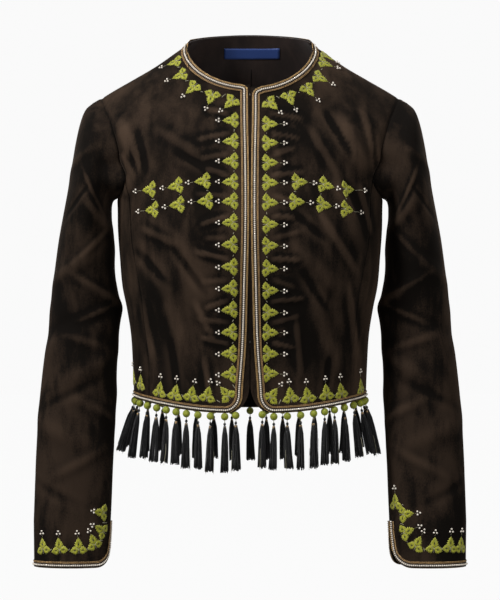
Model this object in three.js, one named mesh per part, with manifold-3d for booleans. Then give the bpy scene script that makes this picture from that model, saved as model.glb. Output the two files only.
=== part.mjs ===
import * as THREE from 'three';
import Module from 'manifold-3d';
import { mergeVertices } from 'three/addons/utils/BufferGeometryUtils.js';

// A cropped velvet jacket without a collar, in its worn form with no wearer in it.
// Millimetres, +Z up. The front faces -Y and the wearer's left is +X.
// The origin lies between the shoulders, at the height of the neck points.

const wall = 2; // velvet with its lining
const seamGap = 0.3; // between two sewn pieces
const layerGap = 0.6; // between a panel and what lies on it
const liningGap = 0.8; // wider, because the lining skips every second line of the back's grid
const trimWidth = 9.5;
const trimThickness = 1.6;
const liningThickness = 1;
const label = { wide: 76, high: 14, x: 2.6, z: -6.5, thickness: 0.6, gap: 0.6, columns: 4 };
const hook = { long: 9, half: 2.2, wire: 1, sides: 3, steps: 7, heights: { neck: -72, waist: -399 } };

const neckHalfWidth = 85;
const neckPointZ = 3;
const backNeckRise = 16;
const frontNeckDrop = { right: 61, left: 64 };
const shoulderTip = { x: 201, z: -71 };
const underarmZ = -207.5;
const armholeHalfDepth = 62;
const hemZ = { centre: -492, side: -474 };
const hemCorner = { wide: 27.4, high: 37 }; // the rounded corner of the cloth
const trimCorner = 23; // outer radius of the trim there
const trimInset = 0.9; // cloth that shows outside the trim at neck, hem and cuff
const ridgeY = 8; // the shoulder seams lie this far behind the side seams
const sectionPower = 2.3; // 2 is an ellipse, more is squarer
const closingPower = 1.55; // how sharply the shoulders close over
const closingZ = -150; // height where they start to close

const velvetColour = 0x2b211b;
const liningColour = 0x2a1f1c;
const braidColour = 0x9a7438;
const labelColour = 0x1b2d5c;
const hookColour = 0x9c9a96;
const tasselColour = 0x1b1a1c;

// Sections of the body from the hem up: half width, depth in front and behind.
const bodyRows = [
  { z: -520, side: 156, front: 101, back: 90 },
  { z: -470, side: 156.5, front: 102, back: 91 },
  { z: -430, side: 158, front: 105, back: 91 },
  { z: -390, side: 160.5, front: 109, back: 92 },
  { z: -355, side: 166, front: 114, back: 94 },
  { z: -325, side: 172, front: 119, back: 96 },
  { z: -285, side: 175.5, front: 123.5, back: 99 },
  { z: -250, side: 178, front: 124, back: 102 },
  { z: -209, side: 179, front: 118, back: 104 },
  { z: -180, side: 183, front: 111, back: 105 },
  { z: -143, side: 197, front: 104, back: 104 },
  { z: -100, side: 215, front: 96, back: 98 },
  { z: -60, side: 222, front: 90, back: 93 },
  { z: 20, side: 225, front: 86, back: 90 },
];

// The shoulder line, carried on inward over the neck so that the surface stays smooth there.
const ridgeRows = [
  { x: 0, z: 60 },
  { x: 30, z: 54 },
  { x: 60, z: 31 },
  { x: 85, z: 3 },
  { x: 100, z: -8.5 },
  { x: 128, z: -28 },
  { x: 157, z: -45 },
  { x: 185, z: -61 },
  { x: 201, z: -71 },
  { x: 230, z: -90 },
];

const frontEdgeX = 0.6; // the front edges lie beside each other down to the rounded corners

// The trim keeps a margin from the front edge, which grows towards the hem.
const frontTrimRows = [
  { z: -500, x: 10.4 },
  { z: -462, x: 9.4 },
  { z: -403, x: 5.2 },
  { z: -327, x: 3 },
  { z: -235, x: 1.2 },
  { z: -160, x: 1.6 },
  { z: -100, x: 2.7 },
  { z: -50, x: 2.8 },
];

const princessRows = [
  { z: -495, x: 134 },
  { z: -430, x: 134.5 },
  { z: -398, x: 137 },
  { z: -344, x: 143.5 },
  { z: -302, x: 151 },
  { z: -266, x: 157 },
  { z: -216, x: 160 },
  { z: -177, x: 164.5 },
];

// The armhole from the shoulder tip down to just above the underarm.
const armholeFrontRows = [
  { z: -71, x: 201 },
  { z: -88, x: 194 },
  { z: -105, x: 186.5 },
  { z: -129, x: 178.5 },
  { z: -146, x: 174.5 },
  { z: -160, x: 173 },
  { z: -177, x: 164.5 },
  { z: -187, x: 163.5 },
  { z: -197, x: 168 },
  { z: -204, x: 174.5 },
];
const armholeBackRows = [
  { z: -71, x: 201 },
  { z: -88, x: 190 },
  { z: -105, x: 181 },
  { z: -129, x: 173.5 },
  { z: -146, x: 170 },
  { z: -162, x: 168 },
  { z: -177, x: 167.5 },
  { z: -189, x: 169 },
  { z: -198, x: 172 },
  { z: -204, x: 176 },
];
const princessRow = 6; // the row of both armhole tables where the upper part ends

// Behind, the same grid has a line without a seam.
const backLineRows = [
  { z: -495, x: 128 },
  { z: -430, x: 129 },
  { z: -344, x: 139 },
  { z: -266, x: 153 },
  { z: -216, x: 160 },
  { z: -177, x: 167.5 },
];

// Sections of a sleeve below the armhole: its outer and inner line, half depth and place.
const sleeveRows = [
  { outX: 212, outZ: -77.5, inX: 182.8, inZ: -209, depth: 64, y: 4, armhole: 0.75 },
  { outX: 222.5, outZ: -87, inX: 185, inZ: -211.5, depth: 67, y: 5, armhole: 0.45 },
  { outX: 229.5, outZ: -105, inX: 186.2, inZ: -214.5, depth: 70, y: 6, armhole: 0.22 },
  { outX: 235.5, outZ: -132, inX: 187, inZ: -219, depth: 72, y: 7, armhole: 0.08 },
  { outX: 240.5, outZ: -163, inX: 187.2, inZ: -226, depth: 73, y: 8, armhole: 0 },
  { outX: 246, outZ: -196, inX: 186.8, inZ: -237, depth: 73, y: 8, armhole: 0 },
  { outX: 252.5, outZ: -230, inX: 184.8, inZ: -252, depth: 70, y: 9, armhole: 0 },
  { outX: 258.5, outZ: -263, inX: 183.6, inZ: -275, depth: 66, y: 9, armhole: 0 },
  { outX: 264, outZ: -304, inX: 182.4, inZ: -310, depth: 60, y: 8, armhole: 0 },
  { outX: 268.5, outZ: -342, inX: 177.5, inZ: -338, depth: 52, y: 6, armhole: 0 },
  { outX: 271, outZ: -371, inX: 174.5, inZ: -364, depth: 47, y: 3, armhole: 0 },
  { outX: 274.8, outZ: -401, inX: 177.6, inZ: -396, depth: 44, y: 0, armhole: 0 },
  { outX: 280, outZ: -444, inX: 179.4, inZ: -440, depth: 40, y: -5, armhole: 0 },
  { outX: 284.5, outZ: -496, inX: 180.6, inZ: -494, depth: 35.5, y: -11, armhole: 0 },
  { outX: 287.5, outZ: -555, inX: 183.4, inZ: -554, depth: 32.5, y: -17, armhole: 0 },
  { outX: 289, outZ: -605, inX: 185.2, inZ: -605, depth: 31.5, y: -21, armhole: 0 },
  { outX: 290, outZ: -640, inX: 186.6, inZ: -640, depth: 31, y: -24, armhole: 0 },
];
const cuff = { z: -700, outX: 289, inX: 188.5, depth: 31, y: -28, rows: 3 };
const vent = { halfGap: 0.7, cornerWidth: 34, cornerHeight: 46, turn: 0.14 };

// The largest folds, as soft ridges (or troughs, where high is negative) between two places.
const bodyFolds = [
  { side: -1, x1: 172, z1: -108, x2: 150, z2: -160, wide: 11, high: 4.5 },
  { side: -1, x1: 152, z1: -165, x2: 164, z2: -200, wide: 9, high: 3.5 },
  { side: -1, x1: 128, z1: -236, x2: 60, z2: -300, wide: 13, high: 2.5 },
  { side: -1, x1: 118, z1: -300, x2: 84, z2: -420, wide: 12, high: 3 },
  { side: 1, x1: 119, z1: -102, x2: 148, z2: -168, wide: 11, high: 4.5 },
  { side: 1, x1: 110, z1: -180, x2: 146, z2: -276, wide: 12, high: 3.5 },
  { side: 1, x1: 60, z1: -275, x2: 118, z2: -330, wide: 13, high: 2.5 },
  { side: 1, x1: 84, z1: -340, x2: 112, z2: -430, wide: 12, high: 2.5 },
];
const backFolds = [
  { side: -1, x1: 150, z1: -150, x2: 120, z2: -260, wide: 13, high: 3.5 },
  { side: -1, x1: 100, z1: -320, x2: 70, z2: -430, wide: 14, high: 3 },
  { side: 1, x1: 152, z1: -145, x2: 112, z2: -250, wide: 13, high: 3.5 },
  { side: 1, x1: 88, z1: -300, x2: 106, z2: -425, wide: 14, high: 3 },
  { side: 1, x1: 24, z1: -240, x2: 8, z2: -380, wide: 16, high: 2 },
];

// Sleeve folds: height on the sleeve, angle round it (0 outside, 90 in front), slope and size.
const sleeveFolds = [
  { z: -150, angle: 60, slope: 0.5, long: 45, wide: 11, high: 3 },
  { z: -232, angle: 120, slope: -0.6, long: 40, wide: 12, high: 3.5 },
  { z: -300, angle: 70, slope: 0.45, long: 42, wide: 12, high: 3.5 },
  { z: -345, angle: 150, slope: -0.35, long: 40, wide: 11, high: 4.5 },
  { z: -378, angle: 60, slope: 0.3, long: 45, wide: 13, high: -3 },
  { z: -430, angle: 120, slope: 0.5, long: 45, wide: 14, high: 3 },
  { z: -520, angle: 70, slope: -0.4, long: 45, wide: 15, high: 3 },
  { z: -250, angle: 250, slope: 0.5, long: 45, wide: 13, high: 3.5 },
  { z: -340, angle: 285, slope: -0.3, long: 50, wide: 13, high: 4 },
  { z: -450, angle: 250, slope: 0.4, long: 50, wide: 15, high: 3 },
];

// Distances of the front tassels from the front edge, along the hem.
const frontTassels = {
  right: [22, 37, 56, 73, 89, 104, 119, 135, 153, 172],
  left: [19, 35, 53, 71, 89, 105, 120, 137, 155, 173],
};
const backTassels = { count: 10, from: 191, stepsToMiddle: { right: 9, left: 10 } }; // on each half
const splay = 16; // degrees that the side tassels lean outward
const tassel = {
  ball: 5,
  headTop: -7.5,
  headWide: 3.1,
  rootZ: -19,
  bottomZ: -72,
  flare: 5.9,
  sides: 6,
  locks: 6,
};

// Grid counts: rows up a panel, columns across it.
const princessSteps = 13;
const armholeUpper = 7;
const armholeLower = 4;
const neckColumns = 7;
const shoulderColumns = 6;
const backNeckColumns = 8;
const sleeveColumns = 2 * (armholeUpper + armholeLower);

const handOf = { right: -1, left: 1 };
const degrees = Math.PI / 180;

function clamp(value, low, high) {
  return Math.min(Math.max(value, low), high);
}

function mix(from, to, share) {
  return from + (to - from) * share;
}

function smooth(from, to, value) {
  const share = clamp((value - from) / (to - from), 0, 1);
  return share * share * (3 - 2 * share);
}

// A table's column at a place along its key, on a smooth curve through the rows.
function readTable(rows, key, at, column) {
  const rising = rows[rows.length - 1][key] > rows[0][key];
  const ordered = rising ? rows : [...rows].reverse();
  const last = ordered.length - 1;
  let index = 0;
  while (index < last - 1 && at > ordered[index + 1][key]) {
    index += 1;
  }
  const low = ordered[index];
  const high = ordered[index + 1];
  const before = ordered[Math.max(index - 1, 0)];
  const after = ordered[Math.min(index + 2, last)];
  const span = high[key] - low[key];
  const share = clamp((at - low[key]) / span, 0, 1);
  const lowSlope = ((high[column] - before[column]) / (high[key] - before[key])) * span;
  const highSlope = ((after[column] - low[column]) / (after[key] - low[key])) * span;
  const square = share * share;
  const cube = square * share;
  return (
    (2 * cube - 3 * square + 1) * low[column] +
    (cube - 2 * square + share) * lowSlope +
    (3 * square - 2 * cube) * high[column] +
    (cube - square) * highSlope
  );
}

function bodyDepth(z, behind) {
  return readTable(bodyRows, 'z', z, behind ? 'back' : 'front');
}

function ridgeZ(x) {
  return readTable(ridgeRows, 'x', Math.abs(x), 'z');
}

// 1 below the shoulders, 0 on the shoulder line.
function closing(x, z) {
  const share = clamp((z - closingZ) / (ridgeZ(x) - closingZ), 0, 1);
  return (1 - share ** closingPower) ** (1 / closingPower);
}

// The angle round the body, 0 in front and 180 degrees behind, of a point with this x and z.
function angleAt(x, z, behind) {
  const side = readTable(bodyRows, 'z', z, 'side');
  const share = Math.min(x / side, 1);
  const depth = bodyDepth(z, behind) * (1 - share ** sectionPower) ** (1 / sectionPower);
  const angle = Math.atan2(x, depth);
  return behind ? Math.PI - angle : angle;
}

function foldHeight(folds, x, z) {
  let height = 0;
  for (const fold of folds) {
    const ax = fold.side * fold.x1;
    const dx = fold.side * fold.x2 - ax;
    const dz = fold.z2 - fold.z1;
    const length = Math.hypot(dx, dz);
    const along = ((x - ax) * dx + (z - fold.z1) * dz) / (length * length);
    const across = ((x - ax) * dz - (z - fold.z1) * dx) / length;
    const taper = smooth(-0.25, 0.3, along) * smooth(1.25, 0.7, along);
    height += fold.high * taper * Math.exp(-((across / fold.wide) ** 2));
  }
  return height;
}

// The plain body surface, before its folds.
function bodyForm(angle, z) {
  const side = readTable(bodyRows, 'z', z, 'side');
  const depth = bodyDepth(z, Math.cos(angle) < 0);
  const across = Math.abs(Math.sin(angle)) / side;
  const along = Math.abs(Math.cos(angle)) / depth;
  const radius = (across ** sectionPower + along ** sectionPower) ** (-1 / sectionPower);
  const x = radius * Math.sin(angle);
  const back = ridgeY * smooth(underarmZ, shoulderTip.z, z);
  return new THREE.Vector3(x, back - radius * Math.cos(angle) * closing(x, z), z);
}

// A point of the body's outer surface; hand is 1 for the wearer's left and -1 for the right.
function bodyPoint(angle, z, hand = 1) {
  const point = bodyForm(angle, z);
  const round = bodyForm(angle + 0.01, z).sub(bodyForm(angle - 0.01, z));
  const up = bodyForm(angle, z).sub(bodyForm(angle, z - 1));
  const out = round.cross(up).normalize();
  const folds = Math.cos(angle) < 0 ? backFolds : bodyFolds;
  const margin = smooth(0, 26, ridgeZ(point.x) - z) * smooth(0.06, 0.35, Math.abs(Math.cos(angle)));
  point.addScaledVector(out, margin * foldHeight(folds, hand * point.x, z));
  point.x *= hand;
  return point;
}

function hemAt(angle) {
  return mix(hemZ.centre, hemZ.side, Math.sin(angle) ** 4);
}

// Places are pairs of angle and height, so a line of places is laid over the surface later.
function evenly(start, end, steps) {
  const values = [];
  for (let step = 0; step <= steps; step += 1) {
    values.push(mix(start, end, step / steps));
  }
  return values;
}

// Places along half an armhole, from the shoulder tip to the underarm, evenly by length.
function armholeHalf(rows, behind, from, to, steps) {
  const fine = [];
  for (let place = from; place <= to + 1e-9; place += 0.05) {
    const low = Math.min(Math.floor(place + 1e-9), rows.length - 1);
    const share = place - low;
    let angle;
    let z;
    if (low < rows.length - 1) {
      z = mix(rows[low].z, rows[low + 1].z, share);
      angle = angleAt(readTable(rows, 'z', z, 'x'), z, behind);
    } else {
      const start = rows[rows.length - 1];
      const turn = share * 90 * degrees;
      z = mix(start.z, underarmZ, Math.sin(turn));
      angle = mix(90 * degrees, angleAt(start.x, start.z, behind), Math.cos(turn));
    }
    fine.push({ angle, z, at: bodyForm(angle, z) });
  }
  return spaced(fine, steps);
}

function spaced(fine, steps) {
  const lengths = [0];
  for (let index = 1; index < fine.length; index += 1) {
    lengths.push(lengths[index - 1] + fine[index].at.distanceTo(fine[index - 1].at));
  }
  const total = lengths[lengths.length - 1];
  const places = [];
  for (let step = 0; step <= steps; step += 1) {
    const wanted = (total * step) / steps;
    let index = 1;
    while (index < fine.length - 1 && lengths[index] < wanted) {
      index += 1;
    }
    const share = (wanted - lengths[index - 1]) / (lengths[index] - lengths[index - 1]);
    const low = fine[index - 1];
    const high = fine[index];
    places.push({ angle: mix(low.angle, high.angle, share), z: mix(low.z, high.z, share) });
  }
  return places;
}

const underarmStep = armholeFrontRows.length;
const armholes = {
  front: {
    upper: armholeHalf(armholeFrontRows, false, 0, princessRow, armholeUpper),
    lower: armholeHalf(armholeFrontRows, false, princessRow, underarmStep, armholeLower),
  },
  back: {
    upper: armholeHalf(armholeBackRows, true, 0, princessRow, armholeUpper),
    lower: armholeHalf(armholeBackRows, true, princessRow, underarmStep, armholeLower),
  },
};

// Rows of the long seams: two short ones at the hem corner, then even ones.
function seamHeights(bottom, top) {
  return [bottom, bottom + 12, ...evenly(bottom + 25, top, princessSteps - 2)];
}

// The line from the hem to the middle of the armhole: the princess seam in front.
function princessLine(behind) {
  const rows = behind ? backLineRows : princessRows;
  const { upper } = behind ? armholes.back : armholes.front;
  const top = upper[armholeUpper];
  const foot = hemAt(angleAt(rows[0].x, hemZ.side, behind));
  const line = [];
  for (const z of seamHeights(foot, top.z)) {
    line.push({ angle: angleAt(readTable(rows, 'z', z, 'x'), z, behind), z });
  }
  line[line.length - 1] = top;
  return line;
}

function sideLine(angle) {
  const line = [];
  for (const z of seamHeights(hemZ.side, underarmZ)) {
    line.push({ angle, z });
  }
  return line;
}

function shoulderLine(behind) {
  const line = [];
  for (const x of evenly(neckHalfWidth, shoulderTip.x, shoulderColumns)) {
    line.push({ angle: angleAt(x, ridgeZ(x), behind), z: ridgeZ(x) });
  }
  return line;
}

function heightShares(line) {
  const bottom = line[0].z;
  const top = line[line.length - 1].z;
  return line.map((place) => (place.z - bottom) / (top - bottom));
}

// The grid between four lines of places; all four run from left to right or from the hem up.
function blend(bottom, top, left, right, upShares) {
  const across = bottom.length - 1;
  const up = left.length - 1;
  const grid = [];
  for (let row = 0; row <= up; row += 1) {
    const v = upShares[row];
    const line = [];
    for (let column = 0; column <= across; column += 1) {
      const u = column / across;
      const place = {};
      for (const part of ['angle', 'z']) {
        const corners = mix(
          mix(bottom[0][part], bottom[across][part], u),
          mix(top[0][part], top[across][part], u),
          v,
        );
        const upDown = mix(bottom[column][part], top[column][part], v);
        const sideways = mix(left[row][part], right[row][part], u);
        place[part] = upDown + sideways - corners;
      }
      line.push(place);
    }
    grid.push(line);
  }
  return grid;
}

// A patch is a grid of points with the quads between them, faces outward.
function patchFrom(grid, toPoint, flip) {
  const points = [];
  const quads = [];
  const width = grid[0].length;
  for (const line of grid) {
    for (const place of line) {
      points.push(toPoint(place));
    }
  }
  for (let row = 0; row < grid.length - 1; row += 1) {
    for (let column = 0; column < width - 1; column += 1) {
      const a = row * width + column;
      const quad = [a, a + 1, a + 1 + width, a + width];
      quads.push(flip ? quad.reverse() : quad);
    }
  }
  return { points, quads, width, height: grid.length };
}

function cornerPlace(turn) {
  const x = frontEdgeX + hemCorner.wide * (1 - Math.cos(turn * degrees));
  const z = hemZ.centre + hemCorner.high * (1 - Math.sin(turn * degrees));
  return { angle: angleAt(x, z, false), z };
}

function frontPanel(side) {
  const hand = handOf[side];
  const drop = frontNeckDrop[side];
  const right = [...princessLine(false), ...armholes.front.upper.slice(0, armholeUpper).reverse()];
  const shares = heightShares(right);
  const neckCorner = { x: frontEdgeX, z: neckPointZ - drop };

  const left = [45, 22.5, 0].map(cornerPlace);
  for (let row = left.length; row < right.length; row += 1) {
    const share = (shares[row] - shares[2]) / (1 - shares[2]);
    const z = mix(hemZ.centre + hemCorner.high, neckCorner.z, share);
    left.push({ angle: angleAt(frontEdgeX, z, false), z });
  }

  const bottom = [45, 67.5, 90].map(cornerPlace);
  const hemStart = frontEdgeX + hemCorner.wide;
  const hemSteps = neckColumns + shoulderColumns - 2;
  for (const x of evenly(hemStart, princessRows[0].x, hemSteps).slice(1)) {
    const angle = angleAt(x, hemZ.centre, false);
    bottom.push({ angle, z: hemAt(angle) });
  }
  bottom[bottom.length - 1] = right[0];

  const top = [];
  for (const turn of evenly(90, 0, neckColumns)) {
    const x = Math.max(neckHalfWidth * Math.cos(turn * degrees), neckCorner.x);
    const z = neckPointZ - drop * Math.sin(turn * degrees);
    top.push({ angle: angleAt(x, z, false), z });
  }
  const shoulder = shoulderLine(false);
  top[top.length - 1] = shoulder[0];
  top.push(...shoulder.slice(1));
  left[left.length - 1] = top[0];

  const grid = blend(bottom, top, left, right, shares);
  return patchFrom(grid, (place) => bodyPoint(place.angle, place.z, hand), hand < 0);
}

// The part under the armhole, from the princess line to the side seam.
function sidePanel(side, behind) {
  const hand = handOf[side];
  const left = princessLine(behind);
  const right = sideLine(90 * degrees);
  const bottom = [];
  for (const angle of evenly(left[0].angle, 90 * degrees, armholeLower)) {
    bottom.push({ angle, z: hemAt(angle) });
  }
  const { lower } = behind ? armholes.back : armholes.front;
  const grid = blend(bottom, lower, left, right, heightShares(left));
  return patchFrom(grid, (place) => bodyPoint(place.angle, place.z, hand), behind ? hand > 0 : hand < 0);
}

function middleBack() {
  const rise = [...princessLine(true), ...armholes.back.upper.slice(0, armholeUpper).reverse()];
  const across = (line) => line.map((place) => ({ angle: 360 * degrees - place.angle, z: place.z }));
  const top = shoulderLine(true).reverse();
  for (const turn of evenly(0, 180, backNeckColumns).slice(1, -1)) {
    const x = neckHalfWidth * Math.cos(turn * degrees);
    const z = neckPointZ + backNeckRise * Math.sin(turn * degrees);
    const angle = angleAt(Math.abs(x), z, true);
    top.push({ angle: x < 0 ? 360 * degrees - angle : angle, z });
  }
  top.push(...across(shoulderLine(true)));
  const bottom = [];
  for (const angle of evenly(rise[0].angle, 360 * degrees - rise[0].angle, top.length - 1)) {
    bottom.push({ angle, z: hemAt(angle) });
  }
  const grid = blend(bottom, top, rise, across(rise), heightShares(rise));
  return patchFrom(grid, (place) => bodyPoint(place.angle, place.z), false);
}

const keyOf = (point) => point.toArray().map((value) => Math.round(value * 200)).join(' ');

// Patches that share edge points, as one piece of cloth.
function joinedPatch(parts) {
  const points = [];
  const quads = [];
  const known = new Map();
  const grids = parts.map((part) => {
    const places = part.points.map((point) => {
      const key = keyOf(point);
      if (!known.has(key)) {
        known.set(key, points.length);
        points.push(point);
      }
      return known.get(key);
    });
    quads.push(...part.quads.map((quad) => quad.map((index) => places[index])));
    return { places, width: part.width, height: part.height };
  });
  return { points, quads, grids };
}

// The armhole's points in order round the sleeve: the top, the front, the underarm, the back.
function armholeRing(hand) {
  const { front, back } = armholes;
  const behind = [...back.upper, ...back.lower.slice(1)];
  const places = [...front.upper, ...front.lower.slice(1), ...behind.slice(1, -1).reverse()];
  return places.map((place) => bodyPoint(place.angle, place.z, hand));
}

function sleeveFoldHeight(angle, z, girth) {
  let height = 0;
  for (const fold of sleeveFolds) {
    const turn = Math.atan2(Math.sin(angle - fold.angle * degrees), Math.cos(angle - fold.angle * degrees));
    const along = turn * girth;
    const across = z - fold.z - fold.slope * along;
    height += fold.high * Math.exp(-((across / fold.wide) ** 2) - (along / fold.long) ** 2);
  }
  return height;
}

function cuffZ(arc) {
  const share = clamp(1 - arc / vent.cornerWidth, 0, 1);
  return cuff.z + vent.cornerHeight * (1 - Math.sqrt(1 - share * share));
}

function sleevePatch(side) {
  const hand = handOf[side];
  const ring = armholeRing(hand);
  const half = sleeveColumns / 2;
  const topPoint = ring[0];
  const lowPoint = ring[half];
  const middle = topPoint.clone().add(lowPoint).multiplyScalar(0.5);
  const ringUp = topPoint.clone().sub(lowPoint);
  const ringHalf = ringUp.length() / 2;
  ringUp.normalize();
  const front = new THREE.Vector3(0, -1, 0);
  const ringOut = ringUp.clone().cross(front);
  const shape = ring.map((point) => {
    const offset = point.clone().sub(middle);
    return {
      up: offset.dot(ringUp) / ringHalf,
      front: offset.dot(front) / armholeHalfDepth,
      out: offset.dot(ringOut),
    };
  });

  const points = [...ring];
  const rows = sleeveRows.length;
  for (let row = 0; row < rows; row += 1) {
    const section = sleeveRows[row];
    const twist = vent.turn * hand * smooth(8, rows - 1, row);
    for (let column = 0; column < sleeveColumns; column += 1) {
      const angle = (column / sleeveColumns) * 2 * Math.PI - twist;
      points.push(sleevePoint(section, hand, angle, shape[column], ringOut));
    }
  }
  const quads = [];
  for (let row = 0; row < rows; row += 1) {
    for (let column = 0; column < sleeveColumns; column += 1) {
      const next = (column + 1) % sleeveColumns;
      const a = row * sleeveColumns;
      quads.push([a + column, a + next, a + sleeveColumns + next, a + sleeveColumns + column]);
    }
  }
  addCuff(points, quads, hand, rows * sleeveColumns);
  if (hand < 0) {
    quads.forEach((quad) => quad.reverse());
  }
  return { points, quads, cuffStart: rows * sleeveColumns };
}

function sleevePoint(section, hand, angle, shape, ringOut) {
  const outer = new THREE.Vector3(hand * section.outX, section.y, section.outZ);
  const inner = new THREE.Vector3(hand * section.inX, section.y, section.inZ);
  const middle = outer.clone().add(inner).multiplyScalar(0.5);
  const across = outer.clone().sub(inner).multiplyScalar(0.5);
  const up = mix(Math.cos(angle), shape.up, section.armhole);
  const front = mix(Math.sin(angle), shape.front, section.armhole);
  const girth = (across.length() + section.depth) / 2;
  const swell = sleeveFoldHeight(angle, middle.z + across.z * up, girth) * (1 - section.armhole) ** 2;
  const point = middle.addScaledVector(across, up * (1 + swell / across.length()));
  point.addScaledVector(ringOut, shape.out * section.armhole ** 2);
  point.y -= front * (section.depth + swell);
  return point;
}

// The cuff: its rows run from the top of the vent to the rounded corners of its edge.
function addCuff(points, quads, hand, start) {
  const half = sleeveColumns / 2;
  const twist = vent.turn * hand;
  const section = (share) => {
    const top = sleeveRows[sleeveRows.length - 1];
    return {
      outX: mix(top.outX, cuff.outX, share),
      inX: mix(top.inX, cuff.inX, share),
      depth: mix(top.depth, cuff.depth, share),
      y: mix(top.y, cuff.y, share),
    };
  };
  const place = (angle, share, z) => {
    const row = section(share);
    const middleX = (row.outX + row.inX) / 2;
    const halfX = (row.outX - row.inX) / 2;
    const x = hand * (middleX + halfX * Math.cos(angle));
    return new THREE.Vector3(x, row.y - row.depth * Math.sin(angle), z);
  };
  const topZ = sleeveRows[sleeveRows.length - 1].outZ;
  const ventEdge = vent.halfGap / cuff.depth;
  const columns = [];
  for (let column = 0; column <= sleeveColumns; column += 1) {
    const fromVent = (column + half) % sleeveColumns;
    let angle = (fromVent / sleeveColumns) * 2 * Math.PI - twist;
    if (column === 0) {
      angle += ventEdge;
    }
    if (column === sleeveColumns) {
      angle -= ventEdge;
    }
    columns.push({ top: start + fromVent, angle, column });
  }
  const arcTo = (column) => {
    const steps = Math.min(column, sleeveColumns - column);
    let arc = 0;
    for (let step = 0; step < steps; step += 1) {
      const a = place(Math.PI + (step / sleeveColumns) * 2 * Math.PI, 1, 0);
      const b = place(Math.PI + ((step + 1) / sleeveColumns) * 2 * Math.PI, 1, 0);
      arc += a.distanceTo(b);
    }
    return arc;
  };
  const first = points.length;
  for (let row = 1; row <= cuff.rows; row += 1) {
    const share = row / cuff.rows;
    for (const { angle, column } of columns) {
      const z = mix(topZ, cuffZ(arcTo(column)), share);
      points.push(place(angle, share, z));
    }
  }
  const width = sleeveColumns + 1;
  for (let row = 0; row < cuff.rows; row += 1) {
    for (let column = 0; column < sleeveColumns; column += 1) {
      const lower = first + row * width + column;
      const upperLeft = row === 0 ? columns[column].top : lower - width;
      const upperRight = row === 0 ? columns[column + 1].top : lower - width + 1;
      quads.push([upperLeft, upperRight, lower + 1, lower]);
    }
  }
}

// One direction for each point that all pieces share, so that walls meet without crossing.
function sharedNormals(patches) {
  const sums = new Map();
  for (const { points, quads } of patches) {
    for (const [a, b, c, d] of quads) {
      const one = points[c].clone().sub(points[a]);
      const two = points[d].clone().sub(points[b]);
      const out = one.cross(two);
      for (const index of [a, b, c, d]) {
        const key = keyOf(points[index]);
        if (!sums.has(key)) {
          sums.set(key, new THREE.Vector3());
        }
        sums.get(key).add(out);
      }
    }
  }
  return patches.map(({ points }) => points.map((point) => sums.get(keyOf(point)).clone().normalize()));
}

// The edges that only one quad has, each with its direction in that quad.
function openEdges(quads) {
  const seen = new Map();
  for (const quad of quads) {
    for (let side = 0; side < quad.length; side += 1) {
      const a = quad[side];
      const b = quad[(side + 1) % quad.length];
      seen.set(`${a} ${b}`, [a, b]);
    }
  }
  return [...seen.values()].filter(([a, b]) => !seen.has(`${b} ${a}`));
}

// Moves the edge points of a patch in by half of the seam gap.
function drawnIn(points, normals, quads, distance) {
  const shift = new Map();
  for (const [a, b] of openEdges(quads)) {
    const along = points[b].clone().sub(points[a]).normalize();
    for (const index of [a, b]) {
      const inward = normals[index].clone().cross(along).normalize();
      if (!shift.has(index)) {
        shift.set(index, []);
      }
      shift.get(index).push(inward);
    }
  }
  const moved = points.map((point) => point.clone());
  for (const [index, directions] of shift) {
    const sum = new THREE.Vector3();
    directions.forEach((direction) => sum.add(direction));
    const step = sum.clone().normalize();
    const reach = Math.max(step.dot(directions[0]), 0.35);
    moved[index].addScaledVector(step, distance / reach);
  }
  return moved;
}

// A closed wall: the outer points, the same points moved in, and a rim on the open edges.
function shellGeometry(points, normals, quads, thickness) {
  const count = points.length;
  const positions = [];
  const index = [];
  points.forEach((point) => positions.push(...point.toArray()));
  points.forEach((point, place) => {
    positions.push(...point.clone().addScaledVector(normals[place], -thickness).toArray());
  });
  for (const [a, b, c, d] of quads) {
    index.push(a, b, c, a, c, d);
    index.push(count + a, count + c, count + b, count + a, count + d, count + c);
  }
  for (const [a, b] of openEdges(quads)) {
    index.push(b, a, count + a, b, count + a, count + b);
  }
  const geometry = new THREE.BufferGeometry();
  geometry.setAttribute('position', new THREE.Float32BufferAttribute(positions, 3));
  geometry.setIndex(index);
  geometry.computeVertexNormals();
  return geometry;
}

function patchNormals(points, quads) {
  return sharedNormals([{ points, quads }])[0];
}

const fabric = (colour) => new THREE.MeshStandardMaterial({ color: colour, roughness: 0.95, metalness: 0 });
const metal = (colour) => new THREE.MeshStandardMaterial({ color: colour, roughness: 0.35, metalness: 1 });

function namedMesh(name, geometry, material) {
  const mesh = new THREE.Mesh(geometry, material);
  mesh.name = name;
  return mesh;
}

const patches = {
  front_right: frontPanel('right'),
  front_left: frontPanel('left'),
  side_front_right: sidePanel('right', false),
  side_front_left: sidePanel('left', false),
  back: joinedPatch([middleBack(), sidePanel('left', true), sidePanel('right', true)]),
  sleeve_right: sleevePatch('right'),
  sleeve_left: sleevePatch('left'),
};
const patchNames = Object.keys(patches);
const normalLists = sharedNormals(Object.values(patches));
patchNames.forEach((name, place) => {
  patches[name].normals = normalLists[place];
  patches[name].drawn = drawnIn(patches[name].points, normalLists[place], patches[name].quads, seamGap / 2);
});

function clothPieces() {
  const group = new THREE.Group();
  for (const name of patchNames) {
    const { drawn, normals, quads } = patches[name];
    group.add(namedMesh(name, shellGeometry(drawn, normals, quads, wall), fabric(velvetColour)));
  }
  return group;
}

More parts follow.
